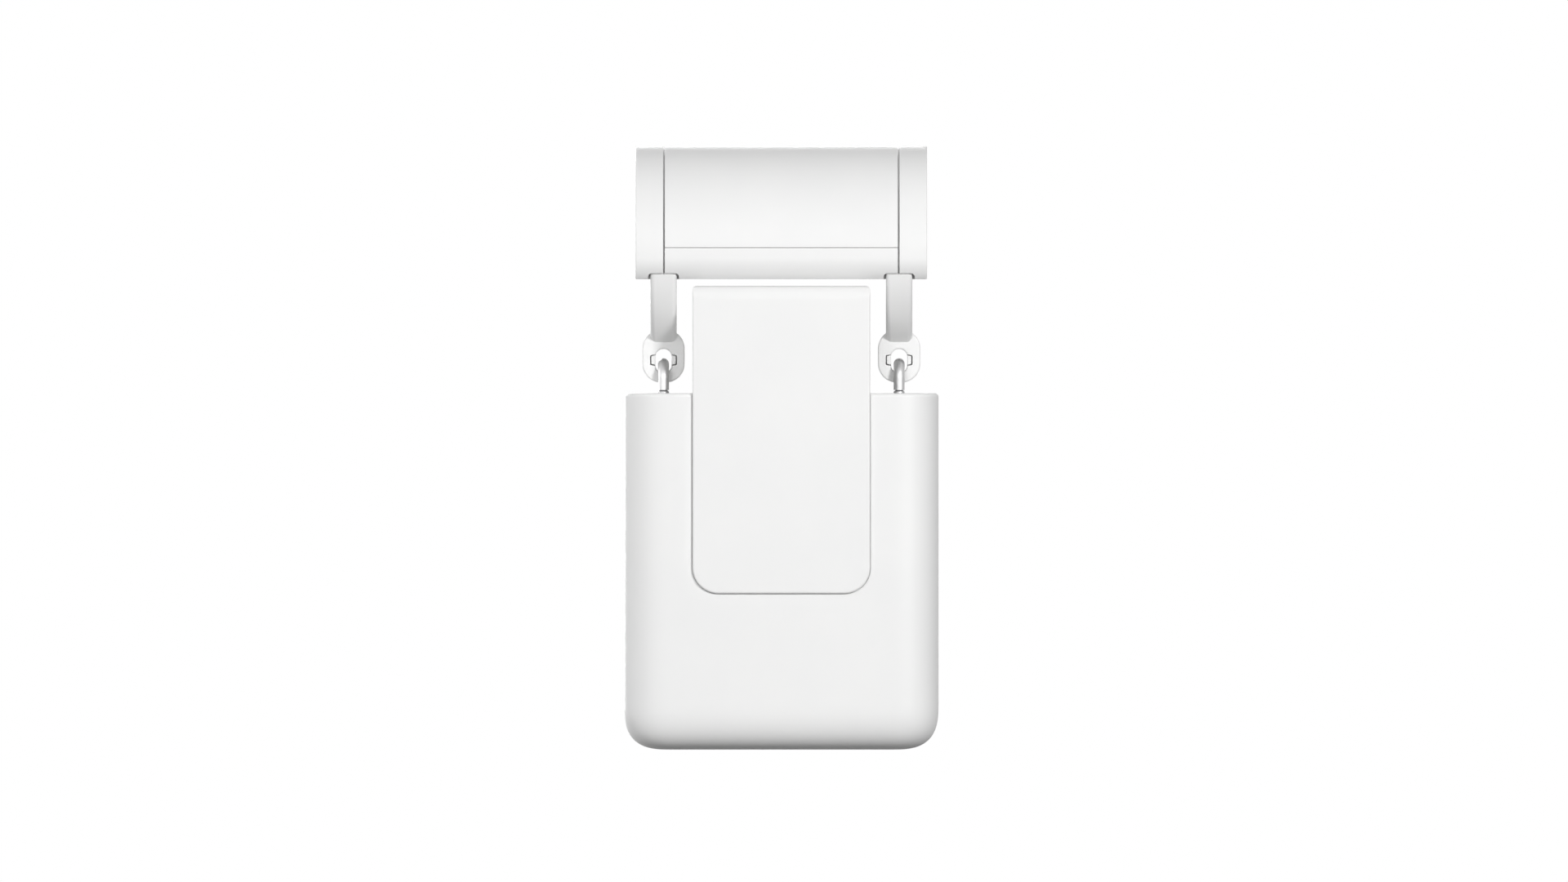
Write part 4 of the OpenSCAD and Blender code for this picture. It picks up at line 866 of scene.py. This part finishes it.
def spring_surface(x, y):
    """Helix with a closed turn at each end: (x + r cos a, y + r sin a, z(a))."""
    turns = np.linspace(0.0, SPRING_TURNS, SPRING_TURNS * 40 + 1)
    height = SPRING_HIGH - SPRING_LOW - 2 * SPRING_WIRE_R
    rise = np.interp(turns, (0.0, CLOSED_TURN, SPRING_TURNS - CLOSED_TURN, SPRING_TURNS),
                     (0.0, CLOSED_RISE, height - CLOSED_RISE, height))
    a = 2 * np.pi * turns
    path = np.column_stack([x + SPRING_R * np.cos(a), y + SPRING_R * np.sin(a),
                            SPRING_LOW + SPRING_WIRE_R + rise])
    side = np.column_stack([np.cos(a), np.sin(a), np.zeros(len(a))])
    tangent = unit(np.gradient(path, axis=0))
    side = unit(side - tangent * (side * tangent).sum(1, keepdims=True))
    radius = np.full(len(a), SPRING_WIRE_R)
    radius[[0, -1]] = 0.0
    path[[0, -1]] = path[[1, -2]]
    return tube(path, tangent, radius, side, 10)


def make_hooks():
    """Four wire hooks, and the four springs that pull them down."""
    for name, side, face in (("left_front", -1, 1), ("right_front", 1, 1),
                             ("left_rear", -1, -1), ("right_rear", 1, -1)):
        piece = new_piece(f"{name}_hook_wire", flipped(hook_surface(side * ARM_X), (1, face, 1)))
        settle(piece, f"{name}_hook_body", "hook_steel", f"{name}_hook")
    springs = new_piece("hook_spring_coils", joined(*[spring_surface(x, y) for x, y in SHANKS]))
    settle(springs, "drive_unit", slot_of["hook_springs"], "hook_springs")
    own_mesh(springs)


def make_guides():
    """Bushes round the hooks' shanks: turned rings with a rounded rim and a flared bore."""
    section = np.array([(BUSH_BORE_R, BUSH_LOW), (BUSH_R, BUSH_LOW), (BUSH_R, BUSH_HIGH),
                        (BUSH_BORE_R, BUSH_HIGH)])
    loop = soften(section, [0.1, 0.2, 0.3, 0.45], 6)
    profile = np.concatenate([loop, loop[:1]])
    rings = [revolve(profile, "z", (x, y, 0.0), 48) for x, y in SHANKS]
    piece = new_piece("hook_guide_bushes", joined(*rings))
    settle(piece, "drive_unit", slot_of["hook_guides"], "hook_guides")


# Body

BODY_W, BODY_D = 37.5, 25.0
BODY_TOP, BODY_BOTTOM = -33.6, -118.6
BODY_TOP_EDGE = 0.9
BODY_POWER, ROLL_POWER = 2.25, 2.9
ROLL = np.array([11.0, 10.0])
ROLL_DOWN = 11.0
WALL = 2.0
LEDGE_Y = 24.6
PLATE_W = 21.2
PLATE_TOP, PLATE_BOTTOM = -8.0, -81.4
PLATE_FACE, PLATE_BACK = -26.0, -23.0
PLATE_CORNER, PLATE_TOP_CORNER, LEAST_CORNER = 6.2, 1.0, 0.02
PLATE_EDGE, PLATE_BACK_EDGE = 0.45, 0.2
PLATE_ROLL, PLATE_ROLL_SHARE = 3.0, 0.9
RIM_TOP = -33.3
RIM_OUTSIDE, RIM_INSIDE = 0.8, 1.15
RIM_BACK = -22.0
COVER_LOW = -36.0
COVER_IN, COVER_OUT, COVER_HALF = 20.6, 35.4, 22.9
BUSH_HOLE_R = 2.63
SCREW_X, SCREW_SEAT_Z = 24.2, -34.8
SCREW_SEAT_R, SCREW_HOLE_R = 2.1, 1.15
BUTTON_X, BUTTON_HOLE_R = 13.0, 3.05
LIGHT_X, LIGHT_HOLE_R = -13.0, 1.55
RECESS = (3.55, 9.0, 3.5, 12)
SOCKET_HOLE = (1.85, 4.72, 1.85, 12)
RECESS_DEPTH, HOLE_DEPTH = 0.35, 4.0
BEYOND = 2.0


def pouch(thick, top, edge):
    """Body's outside, or its hollow when thick is the wall: a rounded rectangle whose corners shrink with
    height by a superellipse towards the flat bottom, so the sides roll under."""
    roll = ROLL - thick
    down = ROLL_DOWN - thick
    inner = np.array([BODY_W, BODY_D]) - ROLL
    quarter = superquarter(16, BODY_POWER) * roll

    def ring(share, height, step=0.0):
        """The outline at one height, its corners drawn in to a share and all of it inset by a step."""
        loop = four_quarters(inner + quarter * share)
        return np.column_stack([inset(loop, step) if step else loop, np.full(len(loop), height)])

    rings = [ring(1.0, height, depth) for depth, height in edge_stops(0.0, top, 0.0, edge)[1:][::-1]]
    floor = BODY_BOTTOM + thick
    rings += [ring(1.0, z) for z in np.linspace(top - edge, floor + down, 12)[1:]]
    drop = superquarter(18, ROLL_POWER)
    rings += [ring(max(share, 1e-4), floor + down * (1 - fall)) for share, fall in drop[1:]]
    return stacked([np.stack(rings)])


def plate_outline(depth, gap=0.0, top=PLATE_TOP):
    """Plate's outline, inset by depth and grown by gap: small upper corners, large lower ones, and close
    points down both sides over the height of the roll at the top."""
    half = PLATE_W + gap - depth
    low, high = PLATE_BOTTOM - gap + depth, top - depth
    small = max(PLATE_TOP_CORNER - depth, LEAST_CORNER)
    large = max(PLATE_CORNER + gap - depth, LEAST_CORNER)
    heights = np.linspace(top - PLATE_ROLL - 0.4, high - small - 0.05, 12)
    side = np.column_stack([np.full(len(heights), half), heights])
    right = np.concatenate([[(half, low)], side, [(half, high)]])
    sizes = np.concatenate([[large], np.zeros(len(side)), [small]])
    return soften(np.concatenate([right, mirrored(right)]), np.concatenate([sizes, sizes[::-1]]), 12)


def make_shell():
    """Pouch with its hollow, the two openings for the plates with a ledge behind each plate's rim, and the
    flared holes in its underside."""
    piece = new_piece("main_shell_moulding", pouch(0.0, BODY_TOP, BODY_TOP_EDGE))
    cutters = [pouch(WALL, BODY_TOP + 6.0, 0.0)]
    opening = prism([plate_outline(0.0, 0.1, BODY_TOP + 12.0)],
                    flare_stops(-BODY_D, -LEDGE_Y, 0.15, 3.0), "y")
    behind = prism([plate_outline(1.0, 0.0, BODY_TOP + 13.0)],
                   edge_stops(-LEDGE_Y - 0.2, -BODY_D + 5.0), "y")
    for face in (1.0, -1.0):
        cutters += [flipped(opening, (1.0, face, 1.0)), flipped(behind, (1.0, face, 1.0))]
    holes = ((rounded_rect(*RECESS), 0.0, RECESS_DEPTH, 0.2),
             (rounded_rect(*SOCKET_HOLE), RECESS_DEPTH, HOLE_DEPTH, 0.15),
             (circle(BUTTON_HOLE_R, (BUTTON_X, 0.0)), 0.0, HOLE_DEPTH, 0.3),
             (circle(LIGHT_HOLE_R, (LIGHT_X, 0.0), 32), 0.0, HOLE_DEPTH, 0.15))
    for outline, start, end, flare in holes:
        stops = flare_stops(BODY_BOTTOM + start, BODY_BOTTOM + end, flare, BEYOND)
        cutters.append(prism([outline], stops))
    cut(piece, *cutters)
    settle(piece, "drive_unit", "white_plastic", "main_shell")


def rim_cutter():
    """U-shaped bar that takes the back off a plate's rim where it lies on the shell's ledge."""
    def bend(wider):
        """An open U along the plate's sides and foot, wider than the plate."""
        half, low, corner = PLATE_W + wider, PLATE_BOTTOM - wider, PLATE_CORNER + wider
        loop = np.array([(-half, RIM_TOP), (-half, low), (half, low), (half, RIM_TOP)])
        return soften(loop, [0.0, corner, corner, 0.0], 12)

    outline = np.concatenate([bend(RIM_OUTSIDE), bend(-RIM_INSIDE)[::-1]])
    return prism([outline], edge_stops(-LEDGE_Y - 0.05, RIM_BACK), "y")


def make_plates():
    """Raised plates: rings inset from the outline. Their depth is the cube root of a^3 + b^3, where a is a
    small quarter-round along all edges and b a larger one down from the top edge."""
    def fall(distance, r):
        """Drop of a quarter-round at a distance d from the edge: r - sqrt(r^2 - (r - d)^2)."""
        near = np.clip(r - distance, 0.0, r)
        return r - np.sqrt(r * r - near * near)

    insets = np.concatenate([PLATE_EDGE * (1 - np.sin(np.linspace(np.pi / 2, 0.0, 7))),
                             (0.65, 0.9, 1.2, 1.5, 1.9, 2.4, 3.1)])
    rings = []
    for depth in insets[::-1]:
        loop = plate_outline(depth)
        roll = fall(PLATE_TOP - loop[:, 1], PLATE_ROLL) * PLATE_ROLL_SHARE
        y = PLATE_FACE + np.cbrt(fall(depth, PLATE_EDGE) ** 3 + roll ** 3)
        rings.append(np.column_stack([loop, y]))
    for depth, y in edge_stops(0.0, PLATE_BACK, 0.0, PLATE_BACK_EDGE)[1:]:
        loop = plate_outline(depth)
        rings.append(np.column_stack([loop, np.full(len(loop), y)]))
    piece = new_piece("front_plate_moulding", stacked([np.stack(rings)], "y"))
    cut(piece, rim_cutter())
    other = twin(piece, "rear_plate_moulding", (1, -1, 1))
    settle(piece, "drive_unit", "white_plastic", "front_plate")
    settle(other, "drive_unit", "white_plastic", "rear_plate")


def make_top_covers():
    """Closing pieces beside the neck, with a hole for each hook's bush and a countersunk screw seat."""
    corners = np.array([(COVER_IN, -COVER_HALF), (COVER_OUT, -COVER_HALF), (COVER_OUT, COVER_HALF),
                        (COVER_IN, COVER_HALF)])
    outline = soften(corners, [0.4, 6.9, 6.9, 0.4], 12)
    piece = new_piece("right_top_cover_moulding",
                      prism([outline], edge_stops(COVER_LOW, BODY_TOP, 0.2, 0.3)))
    below = COVER_LOW - BEYOND
    cutters = [prism([circle(BUSH_HOLE_R, (ARM_X, face * HOOK_Y))],
                     flare_stops(BODY_TOP, below, 0.2, BEYOND)) for face in (-1, 1)]
    seat = circle(SCREW_SEAT_R, (SCREW_X, 0.0))
    cutters.append(prism([seat], flare_stops(BODY_TOP, SCREW_SEAT_Z, 0.15, BEYOND)))
    cutters.append(prism([circle(SCREW_HOLE_R, (SCREW_X, 0.0), 32)], edge_stops(below, BODY_TOP)))
    cut(piece, *cutters)
    other = twin(piece, "left_top_cover_moulding", (-1, 1, 1))
    settle(piece, "drive_unit", "white_plastic", "right_top_cover")
    settle(other, "drive_unit", "white_plastic", "left_top_cover")


# Screws and the underside's small pieces

SCREW_HEAD = np.concatenate([[(1.82, 0.0), (1.9, 0.08)], arc((1.3, 0.5), 0.6, 0.0, 78.0, 8), [(0.0, 1.1)]])
CROSS_BARS = (rounded_rect(0.3, 1.15, 0.2, 4), rounded_rect(1.15, 0.3, 0.2, 4))
CROSS_STOPS = [(0.12, 0.35), (0.0, 2.0)]
COVER_SCREW_LENGTH = 6.4
SADDLE_SCREW_X, SADDLE_SCREW_Z, SADDLE_SCREW_LENGTH = 5.0, 13.4, 7.0
UNDERSIDE_FACE = -118.5
BUTTON_DISH_R, BUTTON_DISH = 2.2, 0.35
LIGHT_DOME_R, LIGHT_DOME = 1.3, 0.15
SOCKET_MOUTH, SOCKET_FLOOR, SOCKET_BACK = -117.9, -111.5, -110.8
SOCKET_OUTSIDE = (1.6, 4.47, 1.59, 12)
SOCKET_INSIDE = (1.3, 4.17, 1.29, 12)
SOCKET_TONGUE = (0.35, 3.35, 0.15, 4)
SOCKET_TONGUE_TIP = -116.9
SOCKET_EDGE = 0.1


def screw_pair(name, body, node, x, z, length, up):
    """Two pan-headed screws as turned profiles, at x to either side, with a cross recess: two tapered bars
    cut into the head. The head looks up or, with -1, down."""
    shank = [(0.0, -length), (0.75, -length), (1.0, 0.25 - length), (1.0, 0.0)]
    turned = revolve(np.concatenate([shank, SCREW_HEAD]), steps=40)
    screws, bars = [], []
    for place in ((-x, 0.0, z), (x, 0.0, z)):
        screws.append(flipped(turned, (1, 1, up), place))
        bars += [flipped(prism([bar], CROSS_STOPS), (1, 1, up), place) for bar in CROSS_BARS]
    piece = new_piece(name, joined(*screws))
    cut(piece, *bars)
    settle(piece, body, slot_of[node], node)


def make_screws():
    """The screws that hold the top covers, and those inside that hold the saddle's cover."""
    screw_pair("cover_screw_steel", "drive_unit", "cover_screws", SCREW_X, SCREW_SEAT_Z,
               COVER_SCREW_LENGTH, 1)
    screw_pair("saddle_screw_steel", "saddle", "saddle_screws", SADDLE_SCREW_X, SADDLE_SCREW_Z,
               SADDLE_SCREW_LENGTH, -1)


def make_underside():
    """Button with a dished face, c (1 - (r / R)^2) deep, and a light guide with a domed one, c (r / R)^2,
    as turned profiles, and the charging socket's sleeve with its tongue, as carried stadium outlines."""
    r = np.linspace(0.0, BUTTON_DISH_R, 9)
    face = np.column_stack([r, UNDERSIDE_FACE + BUTTON_DISH * (1 - (r / BUTTON_DISH_R) ** 2)])
    rim = arc((2.6, -118.2), 0.3, 270.0, 360.0, 6)
    body = [(2.9, -116.4), (3.9, -116.4), (3.9, -115.4), (0.0, -115.4)]
    profile = np.concatenate([face, rim, body])
    piece = new_piece("button_cap", revolve(profile, "z", (BUTTON_X, 0.0, 0.0)))
    settle(piece, "button_body", slot_of["button"], "button")

    r = np.linspace(0.0, LIGHT_DOME_R, 8)
    face = np.column_stack([r, UNDERSIDE_FACE + LIGHT_DOME * (r / LIGHT_DOME_R) ** 2])
    rim = arc((1.3, -118.15), 0.2, 270.0, 360.0, 5)
    body = [(1.5, -116.6), (2.4, -116.6), (2.4, -115.8), (1.5, -115.8), (1.5, -111.6), (0.0, -111.6)]
    profile = np.concatenate([face, rim, body])
    piece = new_piece("light_guide_lens", revolve(profile, "z", (LIGHT_X, 0.0, 0.0), 48))
    settle(piece, "drive_unit", slot_of["light_guide"], "light_guide")

    outside = edge_stops(SOCKET_MOUTH, SOCKET_BACK, SOCKET_EDGE, 0.0)
    inside = flare_stops(SOCKET_MOUTH, SOCKET_FLOOR, SOCKET_EDGE, 1.0)
    blade = edge_stops(SOCKET_TONGUE_TIP, SOCKET_FLOOR, SOCKET_EDGE, 0.0)
    piece = new_piece("charging_socket_sleeve", prism([rounded_rect(*SOCKET_OUTSIDE)], outside))
    cut(piece, prism([rounded_rect(*SOCKET_INSIDE)], inside))
    settle(piece, "drive_unit", slot_of["usb_socket"], "usb_socket")
    piece = new_piece("charging_socket_tongue", prism([rounded_rect(*SOCKET_TONGUE)], blade))
    settle(piece, "drive_unit", "black_plastic")


# Everything put together

add_camera()
add_world()
add_floor()
for name, lamp in LAMPS.items():
    add_softbox(name, *lamp)
scene = bpy.context.scene
scene.view_settings.view_transform = "Standard"

for name, node in frame["nodes"].items():
    if not node.material_slots:
        node.data.materials.append(None)
    for place in node.material_slots:
        place.material = FINISHES[slot_of[name]]

make_saddle_cover()
make_saddle_base()
make_end_caps()
make_arms()
make_rollers()
make_hooks()
make_shell()
make_plates()
make_top_covers()
make_screws()
make_guides()
make_wheel()
make_underside()

bpy.context.view_layer.update()
